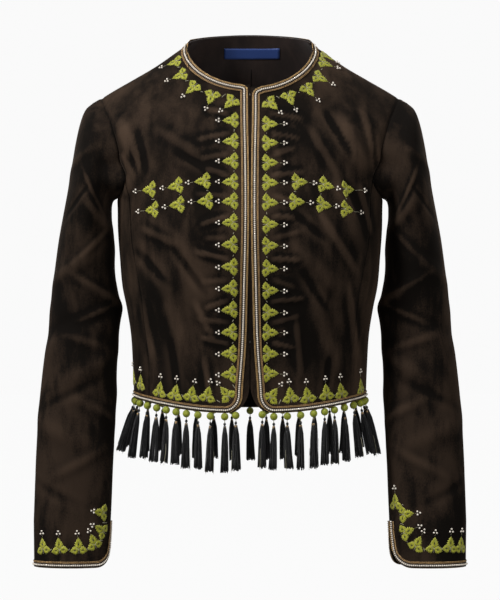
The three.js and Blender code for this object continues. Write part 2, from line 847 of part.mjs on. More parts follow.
// A strip that lies on a patch: pairs of an outer and an inner point, with their directions.
function stripPatch(pairs) {
  const points = [];
  const normals = [];
  const quads = [];
  pairs.forEach((pair, place) => {
    points.push(pair.outer.point, pair.inner.point);
    normals.push(pair.outer.normal, pair.inner.normal);
    if (place > 0) {
      quads.push([2 * place - 2, 2 * place, 2 * place + 1, 2 * place - 1]);
    }
  });
  return { points, normals, quads };
}

// The strip's pair on the line from an edge point to the grid point behind it.
function pairBehind(patch, steps, place) {
  const { drawn, normals } = patch;
  const { edge, behind } = steps[place];
  const before = drawn[steps[Math.max(place - 1, 0)].edge];
  const after = drawn[steps[Math.min(place + 1, steps.length - 1)].edge];
  const along = after.clone().sub(before).normalize();
  const back = drawn[behind].clone().sub(drawn[edge]);
  const reach = back.clone().addScaledVector(along, -back.dot(along)).length();
  const at = (distance) => {
    const share = Math.min(distance / reach, 1);
    const normal = normals[edge].clone().lerp(normals[behind], share).normalize();
    return { point: drawn[edge].clone().addScaledVector(back, share), normal };
  };
  return { outer: at(trimInset), inner: at(trimInset + trimWidth) };
}

function pairsBehind(patch, steps) {
  return steps.map((_, place) => pairBehind(patch, steps, place));
}

// The point of a piece's facets that is seen from the front at this x and z.
function pointOnFacets(points, normals, quads, x, z) {
  for (const [a, b, c, d] of quads) {
    for (const corners of [[a, b, c], [a, c, d]]) {
      const [p, q, r] = corners.map((index) => points[index]);
      const whole = (q.x - p.x) * (r.z - p.z) - (r.x - p.x) * (q.z - p.z);
      const shareQ = ((x - p.x) * (r.z - p.z) - (r.x - p.x) * (z - p.z)) / whole;
      const shareR = ((q.x - p.x) * (z - p.z) - (x - p.x) * (q.z - p.z)) / whole;
      if (shareQ >= -1e-6 && shareR >= -1e-6 && shareQ + shareR <= 1 + 1e-6) {
        const point = p.clone().addScaledVector(q.clone().sub(p), shareQ);
        point.addScaledVector(r.clone().sub(p), shareR);
        const normal = new THREE.Vector3();
        corners.forEach((index) => normal.add(normals[index]));
        return { point, normal: normal.normalize() };
      }
    }
  }
  throw new Error(`no facet at ${x} ${z}`);
}

function pointOnFront(side, x, z) {
  const { drawn, normals, quads } = patches[`front_${side}`];
  return pointOnFacets(drawn, normals, quads, x, z);
}

function countTo(last, first = 0) {
  return Array.from({ length: last - first + 1 }, (_, place) => first + place);
}

// Steps along the top or bottom row of a grid, with the points of the next row behind them.
function rowSteps(grid, row, columns) {
  const inward = row === 0 ? grid.width : -grid.width;
  const indexOf = (index) => (grid.places ? grid.places[index] : index);
  return columns.map((column) => {
    const edge = row * grid.width + column;
    return { edge: indexOf(edge), behind: indexOf(edge + inward) };
  });
}

// The trim on a front runs from the shoulder round the neck, down the edge and along the hem.
function frontTrimPairs(side) {
  const hand = handOf[side];
  const front = patches[`front_${side}`];
  const sidePart = patches[`side_front_${side}`];
  const { width, height } = front;
  const pairAt = (outerX, outerZ, innerX, innerZ) => ({
    outer: pointOnFront(side, hand * outerX, outerZ),
    inner: pointOnFront(side, hand * innerX, innerZ),
  });
  const neck = rowSteps(front, height - 1, countTo(neckColumns, 1).reverse());
  const pairs = pairsBehind(front, neck);

  const cornerZ = neckPointZ - frontNeckDrop[side] - trimInset;
  const cornerX = readTable(frontTrimRows, 'z', cornerZ, 'x');
  pairs.push(pairAt(cornerX, cornerZ - 0.5, cornerX + trimWidth, cornerZ - trimWidth));

  const bendZ = hemZ.centre + trimInset + trimCorner;
  for (const row of countTo(height - 2, 2).reverse()) {
    const { z } = front.drawn[row * width];
    if (z < cornerZ - trimWidth - 2 && z > bendZ + 2) {
      const x = readTable(frontTrimRows, 'z', z, 'x');
      pairs.push(pairAt(x, z, x + trimWidth, z));
    }
  }
  const bendX = readTable(frontTrimRows, 'z', bendZ, 'x') + trimCorner;
  for (const turn of evenly(0, 90, 4)) {
    const across = Math.cos(turn * degrees);
    const down = Math.sin(turn * degrees);
    const inside = trimCorner - trimWidth;
    const outer = [bendX - trimCorner * across, bendZ - trimCorner * down];
    pairs.push(pairAt(...outer, bendX - inside * across, bendZ - inside * down));
  }
  const hem = rowSteps(front, 0, countTo(width - 1, 1));
  const beyond = hem.filter(({ edge }) => Math.abs(front.drawn[edge].x) > bendX + 3);
  pairs.push(...pairsBehind(front, beyond));
  const sideHem = pairsBehind(sidePart, rowSteps(sidePart, 0, countTo(sidePart.width - 1)));
  return [...pairs, ...sideHem.slice(1)];
}

function backNeckPairs() {
  const [middle] = patches.back.grids;
  const columns = countTo(shoulderColumns + backNeckColumns, shoulderColumns);
  return pairsBehind(patches.back, rowSteps(middle, middle.height - 1, columns));
}

function backHemPairs() {
  const [middle, left, right] = patches.back.grids;
  const leftSteps = rowSteps(left, 0, countTo(left.width - 1)).reverse();
  const middleSteps = rowSteps(middle, 0, countTo(middle.width - 1, 1));
  const rightSteps = rowSteps(right, 0, countTo(right.width - 1, 1));
  return pairsBehind(patches.back, [...leftSteps, ...middleSteps, ...rightSteps]);
}

// The trim on a cuff starts at the top of the vent, runs down it, round the cuff and up again.
function cuffPairs(side) {
  const sleeve = patches[`sleeve_${side}`];
  const start = sleeve.cuffStart + sleeveColumns;
  const width = sleeveColumns + 1;
  const last = cuff.rows - 1;
  const steps = [];
  const at = (row, column) => start + row * width + column;
  for (const row of countTo(last - 1)) {
    steps.push({ edge: at(row, 0), behind: at(row, 1) });
  }
  steps.push({ edge: at(last, 0), behind: at(last - 1, 1) });
  for (const column of countTo(sleeveColumns - 1, 1)) {
    steps.push({ edge: at(last, column), behind: at(last - 1, column) });
  }
  steps.push({ edge: at(last, width - 1), behind: at(last - 1, width - 2) });
  for (const row of countTo(last - 1).reverse()) {
    steps.push({ edge: at(row, width - 1), behind: at(row, width - 2) });
  }
  return pairsBehind(sleeve, steps);
}

// Each strip is raised off its cloth; flip turns its faces outward on the mirrored side.
function trimPiece(name, pairs, flip, gap = layerGap) {
  const { points, normals, quads } = stripPatch(pairs);
  const lift = gap + trimThickness;
  const raised = points.map((point, place) => point.clone().addScaledVector(normals[place], lift));
  const faces = flip ? quads.map((quad) => [...quad].reverse()) : quads;
  return namedMesh(name, shellGeometry(raised, normals, faces, trimThickness), fabric(braidColour));
}

function trimPieces() {
  const group = new THREE.Group();
  for (const side of ['right', 'left']) {
    const mirrored = side === 'right';
    group.add(trimPiece(`trim_front_${side}`, frontTrimPairs(side), mirrored));
    group.add(trimPiece(`trim_cuff_${side}`, cuffPairs(side), !mirrored));
  }
  group.add(trimPiece('trim_back_neck', backNeckPairs(), true, layerGap * 2));
  group.add(trimPiece('trim_back_hem', backHemPairs(), false));
  return group;
}

// The lining lies inside the back, on every second line of its grid.
function liningPatch() {
  const [middle] = patches.back.grids;
  const rows = countTo(middle.height - 1).filter((row) => row > 2 && row % 2 === (middle.height - 1) % 2);
  const columns = countTo(middle.width - 3, 2).filter((column) => column % 2 === 0);
  const depth = wall + liningGap;
  const points = [];
  for (const row of rows) {
    for (const column of columns) {
      const index = middle.places[row * middle.width + column];
      points.push(patches.back.drawn[index].clone().addScaledVector(patches.back.normals[index], -depth));
    }
  }
  const quads = [];
  const width = columns.length;
  for (let row = 0; row < rows.length - 1; row += 1) {
    for (let column = 0; column < width - 1; column += 1) {
      const a = row * width + column;
      quads.push([a, a + 1, a + 1 + width, a + width]);
    }
  }
  return { points, quads, normals: patchNormals(points, quads) };
}

function liningPieces() {
  const group = new THREE.Group();
  const { points, quads, normals } = liningPatch();
  const liningGeometry = shellGeometry(points, normals, quads, liningThickness);
  group.add(namedMesh('lining_back', liningGeometry, fabric(liningColour)));

  // The label lies on the lining, just below the neck, and is bare.
  const labelPoints = [];
  const labelQuads = [];
  for (const z of [label.z - label.high / 2, label.z + label.high / 2]) {
    for (const x of evenly(label.x + label.wide / 2, label.x - label.wide / 2, label.columns)) {
      labelPoints.push(pointOnFacets(points, normals, quads, x, z).point);
    }
  }
  for (let column = 0; column < label.columns; column += 1) {
    const above = label.columns + 1 + column;
    labelQuads.push([column, column + 1, above + 1, above]);
  }
  const labelNormals = patchNormals(labelPoints, labelQuads);
  const placed = labelPoints.map((point, index) => (
    point.addScaledVector(labelNormals[index], -liningThickness - label.gap)
  ));
  const geometry = shellGeometry(placed, labelNormals, labelQuads, label.thickness);
  group.add(namedMesh('neck_label', geometry, fabric(labelColour)));
  return group;
}

// A bent wire: a round section along a curve through the points.
function wireGeometry(places) {
  const curve = new THREE.CatmullRomCurve3(places.map(([x, y, z]) => new THREE.Vector3(x, y, z)));
  const section = new THREE.Shape().absarc(0, 0, hook.wire / 2, 0, 2 * Math.PI, false);
  const options = { steps: hook.steps, bevelEnabled: false, extrudePath: curve, curveSegments: hook.sides };
  return new THREE.ExtrudeGeometry(section, options);
}

// A place inside the fronts, this deep behind their outer face.
function insideFronts(x, z, depth) {
  const side = x < 0 ? 'right' : 'left';
  const reach = Math.max(Math.abs(x), frontEdgeX + seamGap);
  const { point, normal } = pointOnFront(side, handOf[side] * reach, z);
  point.addScaledVector(normal, -depth);
  return [x, point.y, point.z];
}

// A hook on the right front and its eye on the left one, sewn inside the edges.
function hookPieces() {
  const group = new THREE.Group();
  const { long, half, wire } = hook;
  const flat = wall + layerGap + wire / 2;
  for (const [place, z] of Object.entries(hook.heights)) {
    const hookShape = [
      [-long, z + half, flat],
      [-long * 0.4, z + half * 0.4, flat],
      [half * 1.3, z, flat],
      [half * 1.3, z, flat + 2.4 * wire],
      [-half, z, flat + 2.4 * wire],
    ];
    const eyeShape = [
      [long, z + half, flat],
      [long * 0.45, z + half, flat + wire],
      [0, z, flat + 1.2 * wire],
      [long * 0.45, z - half, flat + wire],
      [long, z - half, flat],
    ];
    for (const [name, shape] of Object.entries({ hook: hookShape, eye: eyeShape })) {
      const points = shape.map((at) => insideFronts(...at));
      group.add(namedMesh(`${name}_${place}`, wireGeometry(points), metal(hookColour)));
    }
  }
  return group;
}

function solidFrom(wasm, geometry) {
  const plain = geometry.clone();
  plain.deleteAttribute('normal');
  plain.deleteAttribute('uv');
  const merged = mergeVertices(plain, 1e-4);
  const mesh = new wasm.Mesh({
    numProp: 3,
    vertProperties: new Float32Array(merged.attributes.position.array),
    triVerts: new Uint32Array(merged.index.array),
  });
  return new wasm.Manifold(mesh);
}

function geometryFrom(solid) {
  const mesh = solid.getMesh();
  const geometry = new THREE.BufferGeometry();
  geometry.setAttribute('position', new THREE.Float32BufferAttribute(mesh.vertProperties, 3));
  geometry.setIndex([...mesh.triVerts]);
  geometry.computeVertexNormals();
  return geometry;
}

// One thread-wrapped ball over a knotted tassel, hanging from the origin at the ball's middle.
function tasselGeometry(wasm, turn) {
  const { ball, headWide, headTop, rootZ, bottomZ, flare, sides, locks } = tassel;
  const profile = [
    [0, rootZ],
    [headWide * 0.9, rootZ],
    [headWide, headTop],
    [0.9, -ball * 1.05],
    [ball * 0.78, -ball * 0.65],
    [ball, 0],
    [ball * 0.78, ball * 0.65],
    [0, ball],
  ];
  const core = new THREE.LatheGeometry(profile.map(([x, y]) => new THREE.Vector2(x, y)), sides);
  core.rotateX(90 * degrees);
  let solid = solidFrom(wasm, core);
  const length = rootZ - bottomZ;
  for (let lock = 0; lock < locks; lock += 1) {
    const angle = turn + (lock / locks) * 2 * Math.PI;
    const uneven = 1 - 0.06 * ((lock * 2) % 3);
    const strand = new THREE.CylinderGeometry(0.75, 1.9, length * uneven, 3);
    strand.translate(0, (-length * uneven) / 2, 0);
    strand.rotateX(90 * degrees);
    strand.rotateY(-Math.atan2(flare - 3.4, length));
    strand.translate(headWide * 0.5, 0, rootZ + 1.2);
    strand.rotateZ(angle);
    solid = solid.add(solidFrom(wasm, strand));
  }
  return geometryFrom(solid);
}

// Points of the hem's lower edge with their distance from the front edge, on one side.
function hemLine(side) {
  const front = patches[`front_${side}`];
  const sidePart = patches[`side_front_${side}`];
  const [middle, leftBack, rightBack] = patches.back.grids;
  const behind = side === 'left' ? leftBack : rightBack;
  const across = countTo((middle.width - 1) / 2);
  const backColumns = countTo(behind.width - 1).map((column) => behind.places[column]);
  const middleColumns = across.map((column) => (
    middle.places[side === 'left' ? column : middle.width - 1 - column]
  ));
  const pick = (patch, indices) => indices.map((index) => ({
    point: patch.drawn[index].clone().addScaledVector(patch.normals[index], -wall / 2),
    normal: patch.normals[index],
  }));
  const line = [
    ...pick(front, countTo(front.width - 1)),
    ...pick(sidePart, countTo(sidePart.width - 1)).slice(1),
    ...pick(patches.back, backColumns).reverse().slice(1),
    ...pick(patches.back, middleColumns).slice(1),
  ];
  let length = Math.abs(line[0].point.x);
  line.forEach((step, place) => {
    if (place > 0) {
      length += step.point.distanceTo(line[place - 1].point);
    }
    step.length = length;
  });
  return line;
}

// How far under the hem a tassel's middle hangs, so that its ball just clears every edge there.
function hangingDrop(line, point) {
  const clearance = tassel.ball + seamGap;
  const middle = point.clone();
  const nearest = new THREE.Vector3();
  const isClear = () => line.slice(1).every((step, place) => {
    new THREE.Line3(line[place].point, step.point).closestPointToPoint(middle, true, nearest);
    return nearest.distanceTo(middle) >= clearance;
  });
  middle.z -= clearance;
  while (!isClear()) {
    middle.z -= 0.05;
  }
  return point.z - middle.z;
}

function hemPlace(line, length) {
  const place = Math.max(line.findIndex((step) => step.length >= length), 1);
  const low = line[place - 1];
  const high = line[place];
  const share = clamp((length - low.length) / (high.length - low.length), 0, 1);
  const point = low.point.clone().lerp(high.point, share);
  const normal = low.normal.clone().lerp(high.normal, share).normalize();
  return { point, normal, drop: hangingDrop(line, point) };
}

function tasselPieces(wasm) {
  const group = new THREE.Group();
  const lines = { right: hemLine('right'), left: hemLine('left') };
  const places = [];
  for (const side of ['right', 'left']) {
    frontTassels[side].forEach((length) => places.push(hemPlace(lines[side], length)));
    const whole = lines[side][lines[side].length - 1].length;
    const pitch = (whole - backTassels.from) / backTassels.stepsToMiddle[side];
    for (let number = 0; number < backTassels.count; number += 1) {
      places.push(hemPlace(lines[side], backTassels.from + pitch * number));
    }
  }
  places.forEach(({ point, normal, drop }, number) => {
    const name = `tassel_${String(number + 1).padStart(2, '0')}`;
    const mesh = namedMesh(name, tasselGeometry(wasm, number * 0.7), fabric(tasselColour));
    mesh.position.copy(point);
    mesh.position.z -= drop;
    const outward = Math.atan2(normal.y, normal.x);
    const sideways = Math.abs(Math.cos(outward));
    const lean = splay * sideways ** 3;
    mesh.rotateOnAxis(new THREE.Vector3(-Math.sin(outward), Math.cos(outward), 0), -lean * degrees);
    group.add(mesh);
  });
  return group;
}

const wasm = await Module();
wasm.setup();

const jacket = new THREE.Group();
jacket.add(clothPieces());
jacket.add(trimPieces());
jacket.add(liningPieces());
jacket.add(hookPieces());
jacket.add(tasselPieces(wasm));

export default jacket;
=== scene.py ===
import math
import random

import bpy
import numpy as np
from mathutils import Matrix, Vector
from mathutils.bvhtree import BVHTree


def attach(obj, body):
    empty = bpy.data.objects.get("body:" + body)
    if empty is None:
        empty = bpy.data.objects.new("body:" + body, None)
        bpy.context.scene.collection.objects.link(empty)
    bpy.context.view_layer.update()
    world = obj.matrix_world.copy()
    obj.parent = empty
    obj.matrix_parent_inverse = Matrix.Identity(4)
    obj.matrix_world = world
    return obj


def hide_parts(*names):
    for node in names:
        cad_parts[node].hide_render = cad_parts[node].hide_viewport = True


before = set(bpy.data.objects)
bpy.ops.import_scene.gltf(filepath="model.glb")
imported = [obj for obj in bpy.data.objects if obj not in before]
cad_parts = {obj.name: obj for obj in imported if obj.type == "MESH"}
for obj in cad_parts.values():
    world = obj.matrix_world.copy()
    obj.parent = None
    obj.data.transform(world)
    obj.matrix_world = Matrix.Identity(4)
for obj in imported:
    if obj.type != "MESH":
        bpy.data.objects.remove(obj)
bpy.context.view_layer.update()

mm = 0.001

# A cropped velvet jacket in its worn form. Sizes are in millimetres, in the frame's own axes:
# the front faces -Y and the wearer's left is +X, on the right of the picture.
jacket = {
    "wall": 2.0,
    "neckHalfWidth": 85,
    "neckPointZ": 3,
    "backNeckRise": 16,
    "frontNeckDrop": {"right": 61, "left": 64},
    "shoulderX": 201,
    "shoulderZ": -71,
    "underarmZ": -207.5,
    "armholeHalfDepth": 62,
    "hemCentreZ": -492,
    "hemBackZ": -492,
    "hemSideZ": -474,
    "cornerWide": 27.4,
    "cornerHigh": 37,
    "frontEdgeX": 0.6,
    "ridgeY": 8,
    "sectionPower": 2.3,
    "closingPower": 1.55,
    "closingZ": -150,
    "grooveDeep": 1.2,
    "grooveWide": 1.7,
    # The next two values set the painted crease light and shade: the step for comparing fold heights and its
    # share on the sleeves
    "creaseShadeStep": 4.0,
    "sleeveBrush": 0.5,
}
handOf = {"right": -1, "left": 1}

# Steps of the cloth's grids
steps = {"corner": 10, "seam": 96, "armholeUpper": 32, "armholeLower": 18, "neck": 36, "shoulder": 30,
         "backNeck": 40, "sleeve": 150, "cuff": 26}


def table(names, *rows):
    return dict(zip(names.split(), np.array(rows, dtype=float).T))


bodyRows = table(
    "z side front back",
    (-520, 156, 101, 90), (-470, 156.5, 102, 91), (-430, 158, 105, 91), (-390, 160.5, 109, 92),
    (-355, 166, 114, 94), (-325, 172, 119, 96), (-285, 175.5, 123.5, 99), (-250, 178, 124, 102),
    (-209, 179, 118, 104), (-180, 183, 111, 105), (-143, 197, 104, 104), (-100, 215, 96, 98),
    (-60, 222, 90, 93), (20, 225, 86, 90))
ridgeRows = table(
    "x z",
    (0, 60), (30, 54), (60, 31), (85, 3), (100, -8.5), (128, -28), (157, -45), (185, -61), (201, -71),
    (230, -90))
princessRows = table(
    "z x",
    (-495, 134), (-430, 134.5), (-398, 137), (-344, 143.5), (-302, 151), (-266, 157), (-216, 160),
    (-177, 164.5))
backLineRows = table(
    "z x",
    (-495, 128), (-430, 129), (-344, 139), (-266, 153), (-216, 160), (-177, 167.5))
armholeFrontRows = table(
    "z x",
    (-71, 201), (-88, 194), (-105, 186.5), (-129, 178.5), (-146, 174.5), (-160, 173), (-177, 164.5),
    (-187, 163.5), (-197, 168), (-204, 174.5))
armholeBackRows = table(
    "z x",
    (-71, 201), (-88, 190), (-105, 181), (-129, 173.5), (-146, 170), (-162, 168), (-177, 167.5),
    (-189, 169), (-198, 172), (-204, 176))
princessRow = 6  # the armhole row where the princess seam meets it

# Soft ridges, or troughs where high is negative, between two places of the front (side 1 is the left)
frontFolds = table(
    "side x1 z1 x2 z2 wide high",
    (-1, 172, -108, 150, -160, 11, 4.5), (-1, 152, -165, 164, -200, 9, 3.5),
    (-1, 128, -236, 60, -300, 13, 2.5), (-1, 118, -300, 84, -420, 12, 3),
    (1, 119, -102, 148, -168, 11, 4.5), (1, 110, -180, 146, -276, 12, 3.5),
    (1, 60, -275, 118, -330, 13, 2.5), (1, 84, -340, 112, -430, 12, 2.5),
    # shorter creases between and beside them
    (-1, 150, -120, 138, -170, 6, -2.2), (-1, 168, -150, 160, -172, 4, 1.6),
    (-1, 158, -142, 150, -176, 4, -1.5),
    (-1, 120, -120, 70, -150, 8, 1.6), (-1, 96, -150, 60, -170, 6, -1.2), (-1, 140, -250, 100, -270, 6, 1.6),
    (-1, 148, -280, 110, -320, 7, -1.8), (-1, 100, -275, 62, -330, 6, -1.5), (-1, 70, -350, 46, -400, 6, 1.4),
    (-1, 142, -350, 128, -420, 6, 1.8), (-1, 104, -400, 96, -460, 6, -1.4), (-1, 60, -420, 54, -462, 5, 1.2),
    (1, 100, -96, 132, -150, 6, -2.2), (1, 150, -96, 166, -150, 6, 2.2), (1, 162, -120, 168, -165, 4, -1.6),
    (1, 80, -120, 112, -176, 7, 1.8), (1, 128, -192, 150, -240, 6, -2), (1, 146, -196, 158, -250, 5, 1.8),
    (1, 92, -232, 136, -300, 7, 2), (1, 60, -232, 96, -262, 6, -1.4), (1, 72, -310, 96, -352, 6, -1.5),
    (1, 130, -330, 140, -410, 6, 1.8), (1, 60, -370, 66, -436, 6, 1.4), (1, 104, -420, 100, -462, 5, -1.2))
backFolds = table(
    "side x1 z1 x2 z2 wide high",
    (-1, 150, -150, 120, -260, 13, 3.5), (-1, 100, -320, 70, -430, 14, 3),
    (1, 152, -145, 112, -250, 13, 3.5), (1, 88, -300, 106, -425, 14, 3), (1, 24, -240, 8, -380, 16, 2),
    (-1, 164, -140, 146, -200, 6, -1.8), (-1, 130, -250, 96, -300, 7, 1.8), (-1, 60, -300, 40, -380, 8, -1.6),
    (-1, 130, -340, 120, -430, 7, 1.8), (-1, 40, -90, 90, -110, 8, 1.4), (-1, 30, -420, 26, -470, 6, 1.2),
    (1, 166, -140, 150, -205, 6, -1.8), (1, 128, -245, 90, -290, 7, 1.8), (1, 56, -290, 50, -370, 8, -1.6),
    (1, 134, -330, 126, -425, 7, 1.8), (1, 46, -84, 96, -106, 8, 1.4), (1, 60, -410, 66, -465, 6, -1.2))

# Small puckers that the stitching draws beside each leaf of the front edge
puckers = {"topZ": -98, "lowZ": -452, "pitch": 27.5, "x1": 31, "x2": 62, "fall": 9, "wide": 4.2, "high": 1.3}

sleeveRows = table(
    "outX outZ inX inZ depth y armhole",
    (212, -77.5, 182.8, -209, 64, 4, 0.75), (222.5, -87, 185, -211.5, 67, 5, 0.45),
    (229.5, -105, 186.2, -214.5, 70, 6, 0.22), (235.5, -132, 187, -219, 72, 7, 0.08),
    (240.5, -163, 187.2, -226, 73, 8, 0), (246, -196, 186.8, -237, 73, 8, 0),
    (252.5, -230, 184.8, -252, 70, 9, 0), (258.5, -263, 183.6, -275, 66, 9, 0),
    (264, -304, 182.4, -310, 60, 8, 0), (268.5, -342, 177.5, -338, 52, 6, 0),
    (271, -371, 174.5, -364, 47, 3, 0), (274.8, -401, 177.6, -396, 44, 0, 0),
    (280, -444, 179.4, -440, 40, -5, 0), (284.5, -496, 180.6, -494, 35.5, -11, 0),
    (287.5, -555, 183.4, -554, 32.5, -17, 0), (289, -605, 185.2, -605, 31.5, -21, 0),
    (290, -640, 186.6, -640, 31, -24, 0))
sleeveRows["row"] = np.arange(len(sleeveRows["y"]), dtype=float)
lastSection = len(sleeveRows["y"]) - 1
cuff = {"z": -700, "outX": 289, "inX": 188.5, "depth": 31, "y": -28}
vent = {"halfGap": 0.7, "cornerWidth": 34, "cornerHeight": 46, "turn": 0.14, "turnFrom": 8}
# Folds of a sleeve: height, angle round it (0 outside, 90 in front), slope, length, width and height
sleeveFolds = table(
    "z angle slope long wide high",
    (-150, 60, 0.5, 45, 11, 3), (-232, 120, -0.6, 40, 12, 3.5), (-300, 70, 0.45, 42, 12, 3.5),
    (-345, 150, -0.35, 40, 11, 4.5), (-378, 60, 0.3, 45, 13, -3), (-430, 120, 0.5, 45, 14, 3),
    (-520, 70, -0.4, 45, 15, 3), (-250, 250, 0.5, 45, 13, 3.5), (-340, 285, -0.3, 50, 13, 4),
    (-450, 250, 0.4, 50, 15, 3),
    (-195, 95, -0.9, 30, 7, 2), (-215, 60, 0.8, 26, 6, -1.6), (-270, 110, 0.7, 28, 7, 2),
    (-322, 100, -0.5, 28, 7, 2), (-362, 110, 0.4, 30, 6, 2.2), (-398, 95, -0.3, 30, 7, 1.8),
    (-468, 80, 0.5, 30, 8, -1.6), (-492, 130, -0.5, 28, 8, 1.8), (-560, 100, 0.6, 28, 9, 1.8),
    (-600, 60, -0.5, 26, 8, -1.4), (-400, 230, 0.4, 30, 8, 2), (-560, 250, -0.4, 34, 9, 1.8),
    (-200, 280, 0.6, 30, 8, 2))


def mix(low, high, share):
    return low + (high - low) * share


# How far along a path each of its points lies
def lengthsAlong(points):
    return np.concatenate([[0], np.cumsum(np.linalg.norm(np.diff(points, axis=0), axis=1))])


def smooth(low, high, value):
    share = np.clip((value - low) / (high - low), 0, 1)
    return share * share * (3 - 2 * share)


# A column of a table at places along its key, on a smooth curve through the rows
def readTable(rows, at, column, key="z"):
    order = np.argsort(rows[key])
    keys = rows[key][order]
    values = rows[column][order]
    last = len(keys) - 1
    at = np.asarray(at, dtype=float)
    low = np.clip(np.searchsorted(keys, at, side="left") - 1, 0, last - 1)
    high = low + 1
    before = np.maximum(low - 1, 0)
    after = np.minimum(low + 2, last)
    span = keys[high] - keys[low]
    share = np.clip((at - keys[low]) / span, 0, 1)
    lowSlope = (values[high] - values[before]) / (keys[high] - keys[before]) * span
    highSlope = (values[after] - values[low]) / (keys[after] - keys[low]) * span
    square = share ** 2
    cube = share ** 3
    return ((2 * cube - 3 * square + 1) * values[low] + (cube - 2 * square + share) * lowSlope
            + (3 * square - 2 * cube) * values[high] + (cube - square) * highSlope)


def ridgeZ(x):
    return readTable(ridgeRows, np.abs(x), "z", "x")


# 1 below the shoulders, 0 on the shoulder line
def closing(x, z):
    share = np.clip((z - jacket["closingZ"]) / (ridgeZ(x) - jacket["closingZ"]), 0, 1)
    return (1 - share ** jacket["closingPower"]) ** (1 / jacket["closingPower"])


# The angle round the body, 0 in front and pi behind
def angleAt(x, z, behind):
    side = readTable(bodyRows, z, "side")
    power = jacket["sectionPower"]
    share = np.minimum(x / side, 1)
    depth = readTable(bodyRows, z, "back" if behind else "front") * (1 - share ** power) ** (1 / power)
    angle = np.arctan2(x, depth)
    return math.pi - angle if behind else angle


def bodyForm(angle, z):
    angle, z = np.broadcast_arrays(np.asarray(angle, dtype=float), np.asarray(z, dtype=float))
    side = readTable(bodyRows, z, "side")
    depth = np.where(np.cos(angle) < 0, readTable(bodyRows, z, "back"), readTable(bodyRows, z, "front"))
    power = jacket["sectionPower"]
    across = (np.abs(np.sin(angle)) / side) ** power
    forward = (np.abs(np.cos(angle)) / depth) ** power
    radius = (across + forward) ** (-1 / power)
    x = radius * np.sin(angle)
    back = jacket["ridgeY"] * smooth(jacket["underarmZ"], jacket["shoulderZ"], z)
    return np.stack([x, back - radius * np.cos(angle) * closing(x, z), z], axis=-1)


def foldHeight(folds, x, z):
    height = np.zeros_like(x)
    for side, x1, z1, x2, z2, wide, high in zip(*folds.values()):
        ax, dx, dz = side * x1, side * (x2 - x1), z2 - z1
        length = math.hypot(dx, dz)
        along = ((x - ax) * dx + (z - z1) * dz) / length ** 2
        across = ((x - ax) * dz - (z - z1) * dx) / length
        taper = smooth(-0.25, 0.3, along) * smooth(1.25, 0.7, along)
        height += high * taper * np.exp(-(across / wide) ** 2)
    return height


def puckerFolds():
    rows = []
    count = int((puckers["topZ"] - puckers["lowZ"]) / puckers["pitch"])
    for side in (-1, 1):
        for number in range(count):
            z = puckers["topZ"] - puckers["pitch"] * number
            reach = puckers["x2"] + 6 * math.sin(2.1 * number + side)
            fall = puckers["fall"] * math.sin(1.7 * number + 0.8 * side)
            high = puckers["high"] * (1 + 0.5 * math.sin(2.9 * number))
            rows.append((side, puckers["x1"], z, reach, z - fall, puckers["wide"], high))
    return table("side x1 z1 x2 z2 wide high", *rows)


puckerRows = puckerFolds()


neighbours = ((1, 0), (-1, 0), (0, 1), (0, -1))


def bodyHeight(x, z, isBehind):
    frontHeight = foldHeight(frontFolds, x, z) + foldHeight(puckerRows, x, z)
    return np.where(isBehind, foldHeight(backFolds, x, z), frontHeight)


# Points of the body's outer surface. The fourth column is painted light and shade from the folds: ridges are
# painted lighter and troughs darker.
def bodyPoint(angle, z, hand=1):
    angle, z = np.broadcast_arrays(np.asarray(angle, dtype=float), np.asarray(z, dtype=float))
    point = bodyForm(angle, z)
    turn = bodyForm(angle + 0.01, z) - bodyForm(angle - 0.01, z)
    rise = point - bodyForm(angle, z - 1)
    out = np.cross(turn, rise)
    out /= np.linalg.norm(out, axis=-1, keepdims=True)
    x = hand * point[..., 0]
    isBehind = np.cos(angle) < 0
    height = bodyHeight(x, z, isBehind)
    reach = jacket["creaseShadeStep"]
    around = sum(bodyHeight(x + dx * reach, z + dz * reach, isBehind) for dx, dz in neighbours)
    margin = smooth(0, 26, ridgeZ(point[..., 0]) - z) * smooth(0.06, 0.35, np.abs(np.cos(angle)))
    point = point + out * (margin * height)[..., None]
    point[..., 0] *= hand
    return np.concatenate([point, (margin * (4 * height - around))[..., None]], axis=-1)


def hemAt(angle):
    centre = np.where(np.cos(angle) < 0, jacket["hemBackZ"], jacket["hemCentreZ"])
    return mix(centre, jacket["hemSideZ"], np.sin(angle) ** 4)


# A line of places holds an angle and a height in each row
def line(angle, z):
    return np.stack(np.broadcast_arrays(np.asarray(angle, dtype=float), np.asarray(z, dtype=float)), axis=-1)


def evenPlaces(places, count):
    points = bodyForm(places[:, 0], places[:, 1])
    length = lengthsAlong(points)
    wanted = np.linspace(0, length[-1], count + 1)
    return line(np.interp(wanted, length, places[:, 0]), np.interp(wanted, length, places[:, 1]))


# Half an armhole, from the shoulder tip down; the last stretch turns into the underarm
def armholeHalf(rows, behind, start, end, count):
    fineSteps = 20
    places = []
    lastRow = len(rows["z"]) - 1
    for step in range(start * fineSteps, end * fineSteps + 1):
        row = min(step // fineSteps, lastRow)
        share = step / fineSteps - row
        if row < lastRow:
            z = mix(rows["z"][row], rows["z"][row + 1], share)
            places.append((float(angleAt(readTable(rows, z, "x"), z, behind)), z))
        else:
            turn = share * math.pi / 2
            startAngle = float(angleAt(rows["x"][-1], rows["z"][-1], behind))
            z = mix(rows["z"][-1], jacket["underarmZ"], math.sin(turn))
            places.append((mix(math.pi / 2, startAngle, math.cos(turn)), z))
    return evenPlaces(np.array(places), count)


armholes = {}
for behind, rows in ((False, armholeFrontRows), (True, armholeBackRows)):
    upper = armholeHalf(rows, behind, 0, princessRow, steps["armholeUpper"])
    lower = armholeHalf(rows, behind, princessRow, len(rows["z"]), steps["armholeLower"])
    armholes[behind] = (upper, lower)


